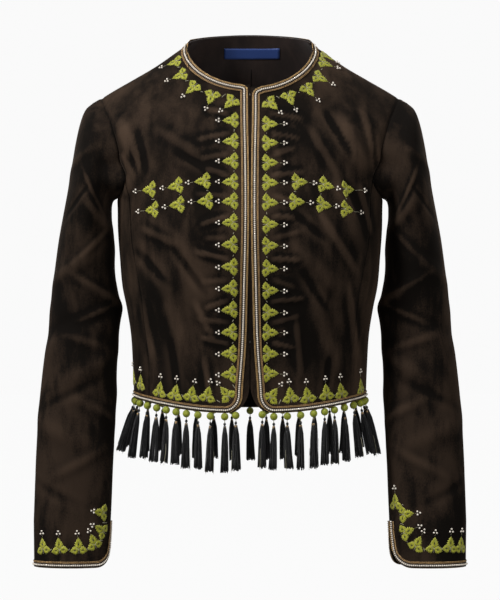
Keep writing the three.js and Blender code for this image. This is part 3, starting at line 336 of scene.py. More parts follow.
def seamHeights(bottom, top):
    low = np.linspace(bottom, bottom + 25, steps["corner"] + 1)
    return np.concatenate([low, np.linspace(bottom + 25, top, steps["seam"] + 1)[1:]])


def princessLine(behind):
    rows = backLineRows if behind else princessRows
    top = armholes[behind][0][-1]
    foot = hemAt(angleAt(rows["x"][0], jacket["hemSideZ"], behind))
    z = seamHeights(foot, top[1])
    places = line(angleAt(readTable(rows, z, "x"), z, behind), z)
    places[-1] = top
    return places


def shoulderLine(behind):
    x = np.linspace(jacket["neckHalfWidth"], jacket["shoulderX"], steps["shoulder"] + 1)
    return line(angleAt(x, ridgeZ(x), behind), ridgeZ(x))


def heightShares(places):
    return (places[:, 1] - places[0, 1]) / (places[-1, 1] - places[0, 1])


def blend(bottom, top, left, right, shares):
    u = np.linspace(0, 1, len(bottom))[None, :, None]
    v = shares[:, None, None]
    corners = mix(mix(bottom[0], bottom[-1], u), mix(top[0], top[-1], u), v)
    return mix(bottom[None], top[None], v) + mix(left[:, None], right[:, None], u) - corners


def cornerPlaces(turn):
    x = jacket["frontEdgeX"] + jacket["cornerWide"] * (1 - np.cos(turn))
    z = jacket["hemCentreZ"] + jacket["cornerHigh"] * (1 - np.sin(turn))
    return line(angleAt(x, z, False), z)


def frontPanel(side):
    drop = jacket["frontNeckDrop"][side]
    edgeX = jacket["frontEdgeX"]
    right = np.concatenate([princessLine(False), armholes[False][0][-2::-1]])
    shares = heightShares(right)
    quarter = math.pi / 4
    corner = steps["corner"]
    rising = (shares[corner + 1:] - shares[corner]) / (1 - shares[corner])
    z = mix(jacket["hemCentreZ"] + jacket["cornerHigh"], jacket["neckPointZ"] - drop, rising)
    left = np.concatenate([cornerPlaces(np.linspace(quarter, 0, corner + 1)),
                           line(angleAt(edgeX, z, False), z)])
    hemSteps = steps["neck"] + steps["shoulder"] - corner
    x = np.linspace(edgeX + jacket["cornerWide"], princessRows["x"][0], hemSteps + 1)[1:]
    hemAngle = angleAt(x, jacket["hemCentreZ"], False)
    turns = np.linspace(quarter, 2 * quarter, corner + 1)
    bottom = np.concatenate([cornerPlaces(turns), line(hemAngle, hemAt(hemAngle))])
    bottom[-1] = right[0]
    turn = np.linspace(math.pi / 2, 0, steps["neck"] + 1)
    neckX = np.maximum(jacket["neckHalfWidth"] * np.cos(turn), edgeX)
    neckZ = jacket["neckPointZ"] - drop * np.sin(turn)
    top = np.concatenate([line(angleAt(neckX, neckZ, False), neckZ)[:-1], shoulderLine(False)])
    left[-1] = top[0]
    grid = blend(bottom, top, left, right, shares)
    return bodyPoint(grid[..., 0], grid[..., 1], handOf[side])


def sidePanel(side, behind):
    left = princessLine(behind)
    right = line(math.pi / 2, seamHeights(jacket["hemSideZ"], jacket["underarmZ"]))
    angle = np.linspace(left[0, 0], math.pi / 2, steps["armholeLower"] + 1)
    grid = blend(line(angle, hemAt(angle)), armholes[behind][1], left, right, heightShares(left))
    return bodyPoint(grid[..., 0], grid[..., 1], handOf[side])


def mirrored(places):
    return line(2 * math.pi - places[:, 0], places[:, 1])


def middleBack():
    rise = np.concatenate([princessLine(True), armholes[True][0][-2::-1]])
    turn = np.linspace(0, math.pi, steps["backNeck"] + 1)[1:-1]
    x = jacket["neckHalfWidth"] * np.cos(turn)
    z = jacket["neckPointZ"] + jacket["backNeckRise"] * np.sin(turn)
    angle = angleAt(np.abs(x), z, True)
    neck = line(np.where(x < 0, 2 * math.pi - angle, angle), z)
    shoulder = shoulderLine(True)
    top = np.concatenate([shoulder[::-1], neck, mirrored(shoulder)])
    across = np.linspace(rise[0, 0], 2 * math.pi - rise[0, 0], len(top))
    grid = blend(line(across, hemAt(across)), top, rise, mirrored(rise), heightShares(rise))
    return bodyPoint(grid[..., 0], grid[..., 1])


def armholeRing(hand):
    frontUpper, frontLower = armholes[False]
    backUpper, backLower = armholes[True]
    behind = np.concatenate([backUpper, backLower[1:]])
    places = np.concatenate([frontUpper, frontLower[1:], behind[-2:0:-1]])
    return bodyPoint(places[:, 0], places[:, 1], hand)[:, :3]


def sleeveFoldHeight(angle, z, girth):
    height = np.zeros_like(z)
    for foldZ, foldAngle, slope, long, wide, high in zip(*sleeveFolds.values()):
        turn = angle - math.radians(foldAngle)
        along = np.arctan2(np.sin(turn), np.cos(turn)) * girth
        across = z - foldZ - slope * along
        height += high * np.exp(-(across / wide) ** 2 - (along / long) ** 2)
    return height


# Rows of a sleeve between the armhole and the cuff, evenly spaced along its outer line
def sleeveSectionRows():
    fine = np.linspace(0, lastSection, 20 * lastSection)
    x = readTable(sleeveRows, fine, "outX", "row")
    z = readTable(sleeveRows, fine, "outZ", "row")
    length = np.concatenate([[0], np.cumsum(np.hypot(np.diff(x), np.diff(z)))])
    return np.interp(np.linspace(0, length[-1], steps["sleeve"] + 1), length, fine)


def sleeveGrids(side):
    hand = handOf[side]
    ring = armholeRing(hand)
    count = len(ring)
    half = count // 2
    middle = (ring[0] + ring[half]) / 2
    ringUp = ring[0] - ring[half]
    ringHalf = np.linalg.norm(ringUp) / 2
    ringUp = ringUp / (2 * ringHalf)
    forward = np.array([0.0, -1.0, 0.0])
    ringOut = np.cross(ringUp, forward)
    offset = ring - middle
    shapeUp = offset @ ringUp / ringHalf
    shapeFront = offset @ forward / jacket["armholeHalfDepth"]
    shapeOut = offset @ ringOut

    row = sleeveSectionRows()[:, None]
    section = {name: readTable(sleeveRows, row, name, "row") for name in sleeveRows if name != "row"}
    armhole = np.clip(section["armhole"], 0, 1)
    twist = vent["turn"] * hand * smooth(vent["turnFrom"], lastSection, row)
    angle = np.arange(count)[None] / count * 2 * math.pi - twist
    up = mix(np.cos(angle), shapeUp, armhole)
    front = mix(np.sin(angle), shapeFront, armhole)
    acrossX = hand * (section["outX"] - section["inX"]) / 2
    acrossZ = (section["outZ"] - section["inZ"]) / 2
    reach = np.hypot(acrossX, acrossZ)
    middleZ = (section["outZ"] + section["inZ"]) / 2
    girth = (reach + section["depth"]) / 2
    height = middleZ + acrossZ * up
    swell = sleeveFoldHeight(angle, height, girth)
    # Painted light and shade on the sleeve's folds: lighter on ridges and darker in troughs
    step = jacket["creaseShadeStep"]
    near = sum(sleeveFoldHeight(angle + da * step / girth, height + dz * step, girth) for da, dz in neighbours)
    napAndCreaseShading = (4 * swell - near) * (1 - armhole) ** 2 * jacket["sleeveBrush"]
    swell = swell * (1 - armhole) ** 2
    wider = up * (1 + swell / reach)
    x = hand * (section["outX"] + section["inX"]) / 2 + acrossX * wider
    y = section["y"] - front * (section["depth"] + swell)
    tube = np.stack([x, y, middleZ + acrossZ * wider], axis=-1)
    tube += ringOut * (shapeOut * armhole ** 2)[..., None]
    head = [mix(ring, tube[0], share) for share in (0, 0.25, 0.5, 0.75)]
    tube = np.concatenate([np.array(head), tube])
    rings = len(head)
    napAndCreaseShading = np.concatenate([np.zeros((rings, count)), napAndCreaseShading])
    tube = np.concatenate([tube, napAndCreaseShading[..., None]], axis=-1)
    closed = np.concatenate([tube, tube[:, :1]], axis=1)
    return closed, cuffGrid(hand, tube[-1, :, :3])


# Below the top of the vent the sleeve is open, with a rounded corner at each side of the slit
def cuffGrid(hand, topRing):
    count = len(topRing)
    half = count // 2
    column = np.arange(count + 1)
    start = (column + half) % count
    ventEdge = vent["halfGap"] / cuff["depth"]
    angle = start / count * 2 * math.pi - vent["turn"] * hand
    angle[0] += ventEdge
    angle[-1] -= ventEdge
    halfX = (cuff["outX"] - cuff["inX"]) / 2
    around = math.pi + column / count * 2 * math.pi
    ringLength = np.hypot(np.diff(halfX * np.cos(around)), np.diff(cuff["depth"] * np.sin(around)))
    arc = np.concatenate([[0], np.cumsum(ringLength)])
    arc = np.minimum(arc, arc[-1] - arc)
    share = np.clip(1 - arc / vent["cornerWidth"], 0, 1)
    edgeZ = cuff["z"] + vent["cornerHeight"] * (1 - np.sqrt(1 - share ** 2))
    topZ = sleeveRows["outZ"][-1]
    rows = [topRing[start]]
    for down in np.linspace(0, 1, steps["cuff"] + 1)[1:]:
        z = mix(topZ, edgeZ, down)
        fall = (topZ - z) / (topZ - cuff["z"])
        size = {name: mix(sleeveRows[name][-1], cuff[name], fall) for name in ("outX", "inX", "depth", "y")}
        x = hand * ((size["outX"] + size["inX"]) / 2 + (size["outX"] - size["inX"]) / 2 * np.cos(angle))
        y = size["y"] - size["depth"] * np.sin(angle)
        rows.append(np.stack([x, y, z], axis=-1))
    rows = np.array(rows)
    return np.concatenate([rows, np.zeros(rows.shape[:2] + (1,))], axis=-1)


# Distance of each grid point from one edge of its grid, measured over the cloth
def edgeDistance(grid, edge):
    axis = 1 if edge in ("left", "right") else 0
    length = np.linalg.norm(np.diff(grid[..., :3], axis=axis), axis=-1)
    start = np.zeros_like(np.take(length, [0], axis=axis))
    distance = np.concatenate([start, np.cumsum(length, axis=axis)], axis=axis)
    if edge in ("right", "top"):
        distance = np.take(distance, [-1], axis=axis) - distance
    return distance


def pointKeys(points):
    return np.round(points / 0.02).astype(np.int64)  # closer than this, two points are one


# Joins grids that share edge points into one sheet. Each grid comes with its sewn edges and a flip.
def sheetFrom(grids):
    points, quads, depths = [], [], []
    count = 0
    for grid, seams, flip in grids:
        height, width = grid.shape[:2]
        groove = np.zeros((height, width))
        for edge in seams.split():
            distance = edgeDistance(grid, edge)
            groove = np.maximum(groove, jacket["grooveDeep"] * np.exp(-(distance / jacket["grooveWide"]) ** 2))
        a = count + (np.arange(height - 1)[:, None] * width + np.arange(width - 1)[None]).ravel()
        quad = np.stack([a, a + 1, a + 1 + width, a + width], axis=1)
        quads.append(quad[:, ::-1] if flip else quad)
        points.append(grid.reshape(-1, 4))
        depths.append(groove.ravel())
        count += height * width
    points = np.concatenate(points)
    quads = np.concatenate(quads)
    depths = np.concatenate(depths)
    _, first, place = np.unique(pointKeys(points[:, :3]), axis=0, return_index=True, return_inverse=True)
    quads = place.ravel()[quads]
    return {"points": points[first, :3], "quads": quads, "depths": depths[first], "napAndCreaseShading": points[first, 3]}


def quadNormals(points, quads):
    return np.cross(points[quads[:, 2]] - points[quads[:, 0]], points[quads[:, 3]] - points[quads[:, 1]])


# One direction for each point, shared by all sheets that meet there
def shareNormals(sheets):
    keys = np.concatenate([pointKeys(sheet["points"]) for sheet in sheets])
    _, place = np.unique(keys, axis=0, return_inverse=True)
    place = place.ravel()
    sums = np.zeros((place.max() + 1, 3))
    start = 0
    for sheet in sheets:
        own = place[start:start + len(sheet["points"])]
        out = quadNormals(sheet["points"], sheet["quads"])
        for corner in range(4):
            np.add.at(sums, own[sheet["quads"][:, corner]], out)
        start += len(sheet["points"])
    sums /= np.linalg.norm(sums, axis=1, keepdims=True)
    start = 0
    for sheet in sheets:
        sheet["normals"] = sums[place[start:start + len(sheet["points"])]]
        sheet["outer"] = sheet["points"] - sheet["normals"] * sheet["depths"][:, None]
        start += len(sheet["points"])


def openEdges(quads):
    edges = np.concatenate([quads[:, [side, (side + 1) % 4]] for side in range(4)])
    known = set(map(tuple, edges.tolist()))
    return [(a, b) for a, b in known if (b, a) not in known]


# Makes a mesh object from points in millimetres
def makePiece(name, points, faces, materials, uv=None, faceSlots=None):
    mesh = bpy.data.meshes.new(name)
    mesh.from_pydata((np.asarray(points) * mm).tolist(), [], faces)
    for material in materials:
        mesh.materials.append(material)
    if uv is not None:
        mesh.uv_layers.new(name="thread").data.foreach_set("uv", np.asarray(uv, dtype=np.float32).ravel())
    if faceSlots is not None:
        mesh.polygons.foreach_set("material_index", np.asarray(faceSlots, dtype=np.int32))
    mesh.polygons.foreach_set("use_smooth", np.ones(len(mesh.polygons), dtype=bool))
    mesh.update()
    piece = bpy.data.objects.new(name, mesh)
    bpy.context.scene.collection.objects.link(piece)
    return piece


def ridesOnBody(piece, slot, *nodes):
    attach(piece, "root")
    if nodes:
        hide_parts(*nodes)
    return piece


def selectOnly(piece):
    bpy.ops.object.select_all(action="DESELECT")
    piece.select_set(True)
    bpy.context.view_layer.objects.active = piece


# Materials


def rgb(red, green, blue):
    channels = [channel / 255 for channel in (red, green, blue)]
    return tuple(c / 12.92 if c <= 0.04045 else ((c + 0.055) / 1.055) ** 2.4 for c in channels) + (1.0,)


def addNode(tree, kind, inputs=None, **settings):
    node = tree.nodes.new(kind)
    for name, value in settings.items():
        setattr(node, name, value)
    for name, value in (inputs or {}).items():
        if isinstance(value, bpy.types.NodeSocket):
            tree.links.new(value, node.inputs[name])
        else:
            node.inputs[name].default_value = value
    return node


def math1(tree, operation, first, second=0.0):
    return addNode(tree, "ShaderNodeMath", {0: first, 1: second}, operation=operation).outputs[0]


def newGroup(name, inputs, outputs):
    tree = bpy.data.node_groups.new(name, "ShaderNodeTree")
    for inputName, kind, value in inputs:
        socket = tree.interface.new_socket(inputName, in_out="INPUT", socket_type=kind)
        if value is not None:
            socket.default_value = value
    for outputName, kind in outputs:
        tree.interface.new_socket(outputName, in_out="OUTPUT", socket_type=kind)
    return tree, addNode(tree, "NodeGroupInput").outputs, addNode(tree, "NodeGroupOutput").inputs


def colourMix(tree, share, low, high):
    node = addNode(tree, "ShaderNodeMix", data_type="RGBA")
    for socket, value in ((node.inputs[0], share), (node.inputs[6], low), (node.inputs[7], high)):
        if isinstance(value, bpy.types.NodeSocket):
            tree.links.new(value, socket)
        else:
            socket.default_value = value
    return node.outputs[2]


# Patches where the pile lies one way or the other, with the pile's own grain
def makeNapGroup():
    tree, given, result = newGroup(
        "velvetNap",
        [("Patches", "NodeSocketFloat", 14.0), ("Grain", "NodeSocketFloat", 900.0)],
        [("Brushed", "NodeSocketFloat"), ("Height", "NodeSocketFloat")])
    place = addNode(tree, "ShaderNodeTexCoord").outputs["Object"]
    stretched = addNode(tree, "ShaderNodeMapping", {"Vector": place, "Scale": (1.0, 1.0, 0.45)}).outputs[0]
    broad = addNode(tree, "ShaderNodeTexNoise", {
        "Vector": stretched, "Scale": given["Patches"], "Detail": 4.0, "Roughness": 0.55}).outputs[0]
    grain = addNode(tree, "ShaderNodeTexNoise",
                    {"Vector": stretched, "Scale": given["Grain"], "Detail": 2.0}).outputs[0]
    narrow = addNode(tree, "ShaderNodeMapping",
                     {"Vector": place, "Scale": (1.0, 1.0, 0.3), "Rotation": (0.0, 0.35, 0.0)}).outputs[0]
    streakScale = math1(tree, "MULTIPLY", given["Patches"], 5.0)
    streaks = addNode(tree, "ShaderNodeTexNoise",
                      {"Vector": narrow, "Scale": streakScale, "Detail": 3.0, "Distortion": 0.4}).outputs[0]
    fine = math1(tree, "MULTIPLY", math1(tree, "SUBTRACT", grain, 0.5), 0.3)
    fine = math1(tree, "ADD", fine, math1(tree, "MULTIPLY", math1(tree, "SUBTRACT", streaks, 0.5), 0.38))
    both = math1(tree, "ADD", broad, fine)
    napAndCreaseShading = addNode(tree, "ShaderNodeMapRange", {"Value": both, "From Min": 0.34, "From Max": 0.68},
                      interpolation_type="SMOOTHSTEP").outputs[0]
    tree.links.new(napAndCreaseShading, result["Brushed"])
    tree.links.new(math1(tree, "ADD", grain, math1(tree, "MULTIPLY", broad, 3.0)), result["Height"])
    return tree


# Threads side by side: rows along the first UV direction, slanted by the second
def makeThreadGroup():
    tree, given, result = newGroup(
        "threadRows",
        [("Rows", "NodeSocketFloat", 1.0), ("Slant", "NodeSocketFloat", 1.0)],
        [("Thread", "NodeSocketFloat"), ("Uneven", "NodeSocketFloat")])
    place = addNode(tree, "ShaderNodeUVMap", uv_map="thread").outputs[0]
    parts = addNode(tree, "ShaderNodeSeparateXYZ", {0: place}).outputs
    phase = math1(tree, "ADD", math1(tree, "MULTIPLY", parts[0], given["Rows"]),
                  math1(tree, "MULTIPLY", parts[1], given["Slant"]))
    wave = math1(tree, "SINE", math1(tree, "MULTIPLY", phase, 2 * math.pi))
    tree.links.new(math1(tree, "ADD", math1(tree, "MULTIPLY", wave, 0.5), 0.5), result["Thread"])
    where = addNode(tree, "ShaderNodeTexCoord").outputs["Object"]
    noise = addNode(tree, "ShaderNodeTexNoise", {"Vector": where, "Scale": 260.0, "Detail": 2.0}).outputs[0]
    tree.links.new(noise, result["Uneven"])
    return tree


# A leaf lobe's stitches: they fan out from a dark slot in its middle (U runs round it, V inwards)
def makeStitchGroup():
    tree, given, result = newGroup(
        "fannedStitches",
        [("Stitches", "NodeSocketFloat", 26.0)],
        [("Stitch", "NodeSocketFloat"), ("Edge", "NodeSocketFloat"), ("Slot", "NodeSocketFloat")])
    place = addNode(tree, "ShaderNodeUVMap", uv_map="thread").outputs[0]
    parts = addNode(tree, "ShaderNodeSeparateXYZ", {0: place}).outputs
    turn = math1(tree, "MULTIPLY", parts[0], given["Stitches"])
    wave = math1(tree, "SINE", math1(tree, "MULTIPLY", turn, 2 * math.pi))
    tree.links.new(math1(tree, "ADD", math1(tree, "MULTIPLY", wave, 0.5), 0.5), result["Stitch"])
    for output, low, high in (("Edge", 0.34, 0.1), ("Slot", 0.84, 1.0)):
        band = addNode(tree, "ShaderNodeMapRange", {"Value": parts[1], "From Min": low, "From Max": high})
        tree.links.new(band.outputs[0], result[output])
    return tree


napGroup = makeNapGroup()
threadGroup = makeThreadGroup()
stitchGroup = makeStitchGroup()


def newMaterial(name, values):
    material = bpy.data.materials.new(name)
    material.use_nodes = True
    tree = material.node_tree
    tree.nodes.clear()
    shader = addNode(tree, "ShaderNodeBsdfPrincipled", values)
    output = addNode(tree, "ShaderNodeOutputMaterial")
    tree.links.new(shader.outputs[0], output.inputs[0])
    return material, tree, shader


def bump(tree, shader, height, strength, distance):
    node = addNode(tree, "ShaderNodeBump", {"Height": height, "Strength": strength, "Distance": distance})
    tree.links.new(node.outputs[0], shader.inputs["Normal"])


def placeGroup(tree, group, values):
    node = tree.nodes.new("ShaderNodeGroup")
    node.node_tree = group
    for name, value in values.items():
        node.inputs[name].default_value = value
    return node.outputs


# The velvet runs from its dark to its light colour; the crease and seam values set the painted light and shade
velvetLook = {"dark": rgb(11, 7, 4), "light": rgb(65, 51, 40), "patches": 13.0, "grain": 1100.0,
              "napShare": 0.66, "creases": 1.7, "seams": 0.5, "creaseShadeShare": 0.42}
# Painted light and shade: how much lighter or darker than the rest each piece is coloured, for how the light
# falls on it
paintedPieceShade = {"sleeve_right": -0.38, "sleeve_left": -0.42, "side_front_left": 0.45,
             "front_right": 0.1, "front_left": 0.12}


def makeVelvet():
    material, tree, shader = newMaterial("brownVelvet", {
        "Roughness": 0.9, "Specular IOR Level": 0.1, "Sheen Weight": 0.28, "Sheen Roughness": 0.3,
        "Sheen Tint": (0.42, 0.30, 0.22, 1.0)})
    nap = placeGroup(tree, napGroup, {"Patches": velvetLook["patches"], "Grain": velvetLook["grain"]})
    # Painted light and shade from the creases, seams and pieces, added to the random nap patches
    creases = addNode(tree, "ShaderNodeAttribute", attribute_name="napAndCreaseShading").outputs["Fac"]
    patches = math1(tree, "ADD", math1(tree, "MULTIPLY", nap["Brushed"], velvetLook["napShare"]),
                    math1(tree, "MULTIPLY", creases, velvetLook["creaseShadeShare"]))
    share = addNode(tree, "ShaderNodeClamp", {0: patches}).outputs[0]
    colour = colourMix(tree, share, velvetLook["dark"], velvetLook["light"])
    tree.links.new(colour, shader.inputs["Base Color"])
    bump(tree, shader, nap["Height"], 0.35, 0.0006)
    return material


def makeLining():
    material, tree, shader = newMaterial("brownLining", {
        "Roughness": 0.5, "Specular IOR Level": 0.35, "Sheen Weight": 0.1})
    nap = placeGroup(tree, napGroup, {"Patches": 22.0, "Grain": 2200.0})
    colour = colourMix(tree, nap["Brushed"], rgb(34, 25, 22), rgb(50, 38, 33))
    tree.links.new(colour, shader.inputs["Base Color"])
    bump(tree, shader, nap["Height"], 0.15, 0.0003)
    return material


# The cloth turned in behind the edges and over the inside, coloured near black as painted shade
def makeFacing():
    material, tree, shader = newMaterial("facingPaintedShade", {
        "Roughness": 0.8, "Specular IOR Level": 0.1, "Sheen Weight": 0.05})
    nap = placeGroup(tree, napGroup, {"Patches": 20.0, "Grain": 1500.0})
    # Near black, as painted shade inside the jacket
    colour = colourMix(tree, nap["Brushed"], rgb(7, 5, 4), rgb(18, 13, 11))
    tree.links.new(colour, shader.inputs["Base Color"])
    bump(tree, shader, nap["Height"], 0.2, 0.0004)
    return material


def makeThread(name, dark, light, rows, slant, values):
    material, tree, shader = newMaterial(name, values)
    thread = placeGroup(tree, threadGroup, {"Rows": rows, "Slant": slant})
    # Light thread crests and dark grooves: partly the threads' own rows, partly painted highlight and painted
    # shade
    share = math1(tree, "MULTIPLY", thread["Thread"], math1(tree, "ADD", thread["Uneven"], 0.35))
    tree.links.new(colourMix(tree, share, dark, light), shader.inputs["Base Color"])
    bump(tree, shader, thread["Thread"], 0.6, 0.0004)
    return material


def makeLeafThread():
    material, tree, shader = newMaterial("greenStitches", {
        "Roughness": 0.5, "Specular IOR Level": 0.4, "Sheen Weight": 0.15})
    stitch = placeGroup(tree, stitchGroup, {"Stitches": 30.0})
    # Light stitch crests and dark lines between stitches: partly the stitches' own rows, partly painted
    # highlight and painted shade
    green = colourMix(tree, stitch["Stitch"], rgb(110, 112, 10), rgb(192, 192, 44))
    edged = colourMix(tree, math1(tree, "MULTIPLY", stitch["Edge"], 0.45), green, rgb(196, 194, 100))
    slotted = colourMix(tree, stitch["Slot"], edged, rgb(26, 26, 6))
    tree.links.new(slotted, shader.inputs["Base Color"])
    bump(tree, shader, stitch["Stitch"], 0.7, 0.0004)
    return material


def makePlain(name, colour, values, scale=300.0, share=0.12):
    material, tree, shader = newMaterial(name, values)
    where = addNode(tree, "ShaderNodeTexCoord").outputs["Object"]
    noise = addNode(tree, "ShaderNodeTexNoise", {"Vector": where, "Scale": scale, "Detail": 3.0}).outputs[0]
    darker = tuple(channel * (1 - 2 * share) for channel in colour[:3]) + (1.0,)
    tree.links.new(colourMix(tree, noise, darker, colour), shader.inputs["Base Color"])
    bump(tree, shader, noise, 0.2, 0.0002)
    return material


looks = {
    "velvet": makeVelvet(),
    "lining": makeLining(),
    "shadedFacing": makeFacing(),
    "leaf": makeLeafThread(),
    "goldBraid": makeThread("goldBraid", rgb(78, 52, 22), rgb(240, 198, 132), 0.8, 2.0,
                            {"Roughness": 0.42, "Metallic": 0.25}),
    "brownBraid": makeThread("brownBraid", rgb(64, 42, 18), rgb(218, 176, 116), 0.8, 2.0,
                             {"Roughness": 0.5, "Metallic": 0.15}),
    "tape": makePlain("brownTape", rgb(44, 29, 17), {"Roughness": 0.8}, 700.0, 0.3),
    "bead": makePlain("whiteBead", rgb(236, 226, 212), {"Roughness": 0.2, "Coat Weight": 0.5}, share=0.05),
    "ball": makeThread("greenBallThread", rgb(84, 92, 8), rgb(186, 194, 46), 30.0, 3.0,
                       {"Roughness": 0.45, "Sheen Weight": 0.1}),
    "tassel": makeThread("blackTasselThread", rgb(4, 4, 5), rgb(26, 25, 27), 2.0, 1.0,
                         {"Roughness": 0.4, "Specular IOR Level": 0.4, "Sheen Weight": 0.08}),
    "wrap": makePlain("beigeWrap", rgb(206, 172, 126), {"Roughness": 0.5}),
    "link": makePlain("beigeThread", rgb(184, 178, 150), {"Roughness": 0.55}),
    "label": makePlain("blueLabel", rgb(40, 68, 132), {"Roughness": 0.55, "Sheen Weight": 0.1}, 900.0, 0.15),
    "steel": makePlain("hookSteel", rgb(186, 184, 178), {"Roughness": 0.3, "Metallic": 1.0}),
}
print("stage: materials are ready")

# The cloth

sleeveParts = {side: sleeveGrids(side) for side in handOf}
middle = middleBack()
backSides = {side: sidePanel(side, True) for side in handOf}
frontGrids = {side: frontPanel(side) for side in handOf}
sideFronts = {side: sidePanel(side, False) for side in handOf}
sheets = {"back": sheetFrom([(middle, "top", False), (backSides["left"], "right top", True),
                             (backSides["right"], "right top", False)])}
for side in handOf:
    isRight = side == "right"
    sheets[f"front_{side}"] = sheetFrom([(frontGrids[side], "right top", isRight)])
    sheets[f"side_front_{side}"] = sheetFrom([(sideFronts[side], "left right top", isRight)])
    tube, open_ = sleeveParts[side]
    sheets[f"sleeve_{side}"] = sheetFrom([(tube, "bottom", isRight), (open_, "", isRight)])
for sheet in sheets.values():
    area = quadNormals(sheet["points"], sheet["quads"])
    sheet["area"] = np.linalg.norm(area, axis=1).sum() / 2 * mm * mm


# Turns a sheet whose faces point inward; the body's middle tells which way is out
def faceOutward(name, sheet):
    centre = np.array([0.0, 0.0, -250.0])
    if name.startswith("sleeve"):
        centre = np.array([handOf[name.split("_")[1]] * 222.0, 5.0, -300.0])
    out = quadNormals(sheet["points"], sheet["quads"])
    away = sheet["points"][sheet["quads"][:, 0]] - centre
    away[:, 2] = 0
    if (out * away).sum() < 0:
        sheet["quads"] = sheet["quads"][:, ::-1]


for name, sheet in sheets.items():
    faceOutward(name, sheet)
shareNormals(list(sheets.values()))


# A wall of cloth: velvet outside and on the edges, facing inside, coloured near black as painted shade
def clothShell(name, sheet, thickness, materials):
    count = len(sheet["outer"])
    outer = sheet["outer"]
    inner = sheet["points"] - sheet["normals"] * thickness
    quads = sheet["quads"]
    faces = quads.tolist() + (quads[:, ::-1] + count).tolist()
    rim = [(b, a, count + a, count + b) for a, b in openEdges(quads)]
    faces += rim
    faceSlots = [0] * len(quads) + [len(materials) - 1] * len(quads) + [0] * len(rim)
    piece = makePiece(name, np.concatenate([outer, inner]), faces, materials, faceSlots=faceSlots)
    # Painted light and shade: lighter on fold ridges, darker in troughs and in the seam grooves
    napAndCreaseShading = np.tanh(sheet["napAndCreaseShading"] * velvetLook["creases"]) - sheet["depths"] * velvetLook["seams"]
    # Each piece is painted lighter or darker for how the light falls on it
    napAndCreaseShading += paintedPieceShade.get(name.removesuffix("_velvet"), 0)
    layer = piece.data.attributes.new("napAndCreaseShading", "FLOAT", "POINT")
    layer.data.foreach_set("value", np.concatenate([napAndCreaseShading, napAndCreaseShading]).astype(np.float32))
    selectOnly(piece)
    bpy.ops.object.shade_smooth_by_angle(angle=math.radians(55))
    return piece


for name, sheet in sheets.items():
    piece = clothShell(f"{name}_velvet", sheet, jacket["wall"], [looks["velvet"], looks["shadedFacing"]])
    ridesOnBody(piece, "velvet", name)

allPoints = np.concatenate([sheet["outer"] for sheet in sheets.values()])
allQuads = []
start = 0
for sheet in sheets.values():
    allQuads += (sheet["quads"] + start).tolist()
    start += len(sheet["outer"])
cloth = BVHTree.FromPolygons(allPoints.tolist(), allQuads)
print("stage: the cloth is made")

# The camera stands level with the jacket's middle, as in the photograph
view = {"distance": 3500.0, "z": -344.0, "pixel": 1.35, "centreX": 250.0, "centreY": 300.0, "pictureHigh": 600}


# The place on the cloth that the photograph shows at a pixel, with its outward direction
def atPixel(x, y):
    direction = Vector(((x - view["centreX"]) * view["pixel"], view["distance"],
                        (view["centreY"] - y) * view["pixel"])).normalized()
    eye = Vector((0, -view["distance"], view["z"]))
    place, normal, _, _ = cloth.ray_cast(eye, direction)
    if place is None:
        place, normal, _, _ = cloth.find_nearest(eye + direction * (view["distance"] - 60))
    return place, normal


def onCloth(place):
    near, normal, _, _ = cloth.find_nearest(Vector(place))
    return near, normal


# Shapes that repeat are modelled once, taken as arrays and copied


def takeShape(piece):
    mesh = piece.data
    points = np.empty(len(mesh.vertices) * 3)
    mesh.vertices.foreach_get("co", points)
    faces = [list(face.vertices) for face in mesh.polygons]
    shape = {"points": points.reshape(-1, 3) / mm, "faces": faces, "uv": None}
    if mesh.uv_layers:
        uv = np.empty(len(mesh.loops) * 2)
        mesh.uv_layers[0].data.foreach_get("uv", uv)
        shape["uv"] = uv.reshape(-1, 2)
    bpy.data.objects.remove(piece, do_unlink=True)
    return shape


class Pile:
    def __init__(self):
        self.points, self.faces, self.uv, self.slots, self.count = [], [], [], [], 0

    def add(self, points, faces, uv=None, slot=0):
        self.points.append(np.asarray(points))
        self.faces += [[index + self.count for index in face] for face in faces]
        corners = sum(len(face) for face in faces)
        self.uv.append(np.zeros((corners, 2)) if uv is None else np.asarray(uv))
        self.slots += [slot] * len(faces)
        self.count += len(points)

    def make(self, name, materials):
        return makePiece(name, np.concatenate(self.points), self.faces, materials,
                         np.concatenate(self.uv), self.slots)


def editShape(piece, select):
    if bpy.context.mode != "OBJECT":
        bpy.ops.object.mode_set(mode="OBJECT")
    selectOnly(piece)
    bpy.ops.object.mode_set(mode="EDIT")
    bpy.ops.mesh.select_mode(type="VERT")
    bpy.ops.mesh.select_all(action="DESELECT")
    bpy.ops.object.mode_set(mode="OBJECT")
    for vertex in piece.data.vertices:
        vertex.select = select(vertex.co / mm, vertex.index)
    bpy.ops.object.mode_set(mode="EDIT")


# The small bead: a short barrel with its ends drawn in to the thread's hole
def modelBead():
    bpy.ops.mesh.primitive_uv_sphere_add(segments=8, ring_count=6, radius=mm)
    bead = bpy.context.active_object
    editShape(bead, lambda at, index: abs(at.z) > 0.95)
    bpy.ops.transform.resize(value=(1, 1, 0.55), center_override=(0, 0, 0))
    bpy.ops.object.mode_set(mode="OBJECT")
    return takeShape(bead)


leaf = {"tipLong": 16.3, "tipHalf": 5.9, "sideLong": 12.5, "sideHalf": 5.9, "sideTurn": 99, "lift": 0.1,
        "turnSpread": 4, "veinLong": 5.4, "veinRadius": 0.24, "veinTurns": (49, -49, 180)}
# The toothed edge of one lobe: places along it and half widths, both as shares
lobeEdge = table(
    "along half",
    (0, 0.06), (0.1, 0.3), (0.21, 0.6), (0.26, 0.92), (0.34, 0.68), (0.43, 1.04), (0.5, 0.66), (0.61, 0.84),
    (0.68, 0.46), (0.8, 0.46), (0.86, 0.2))
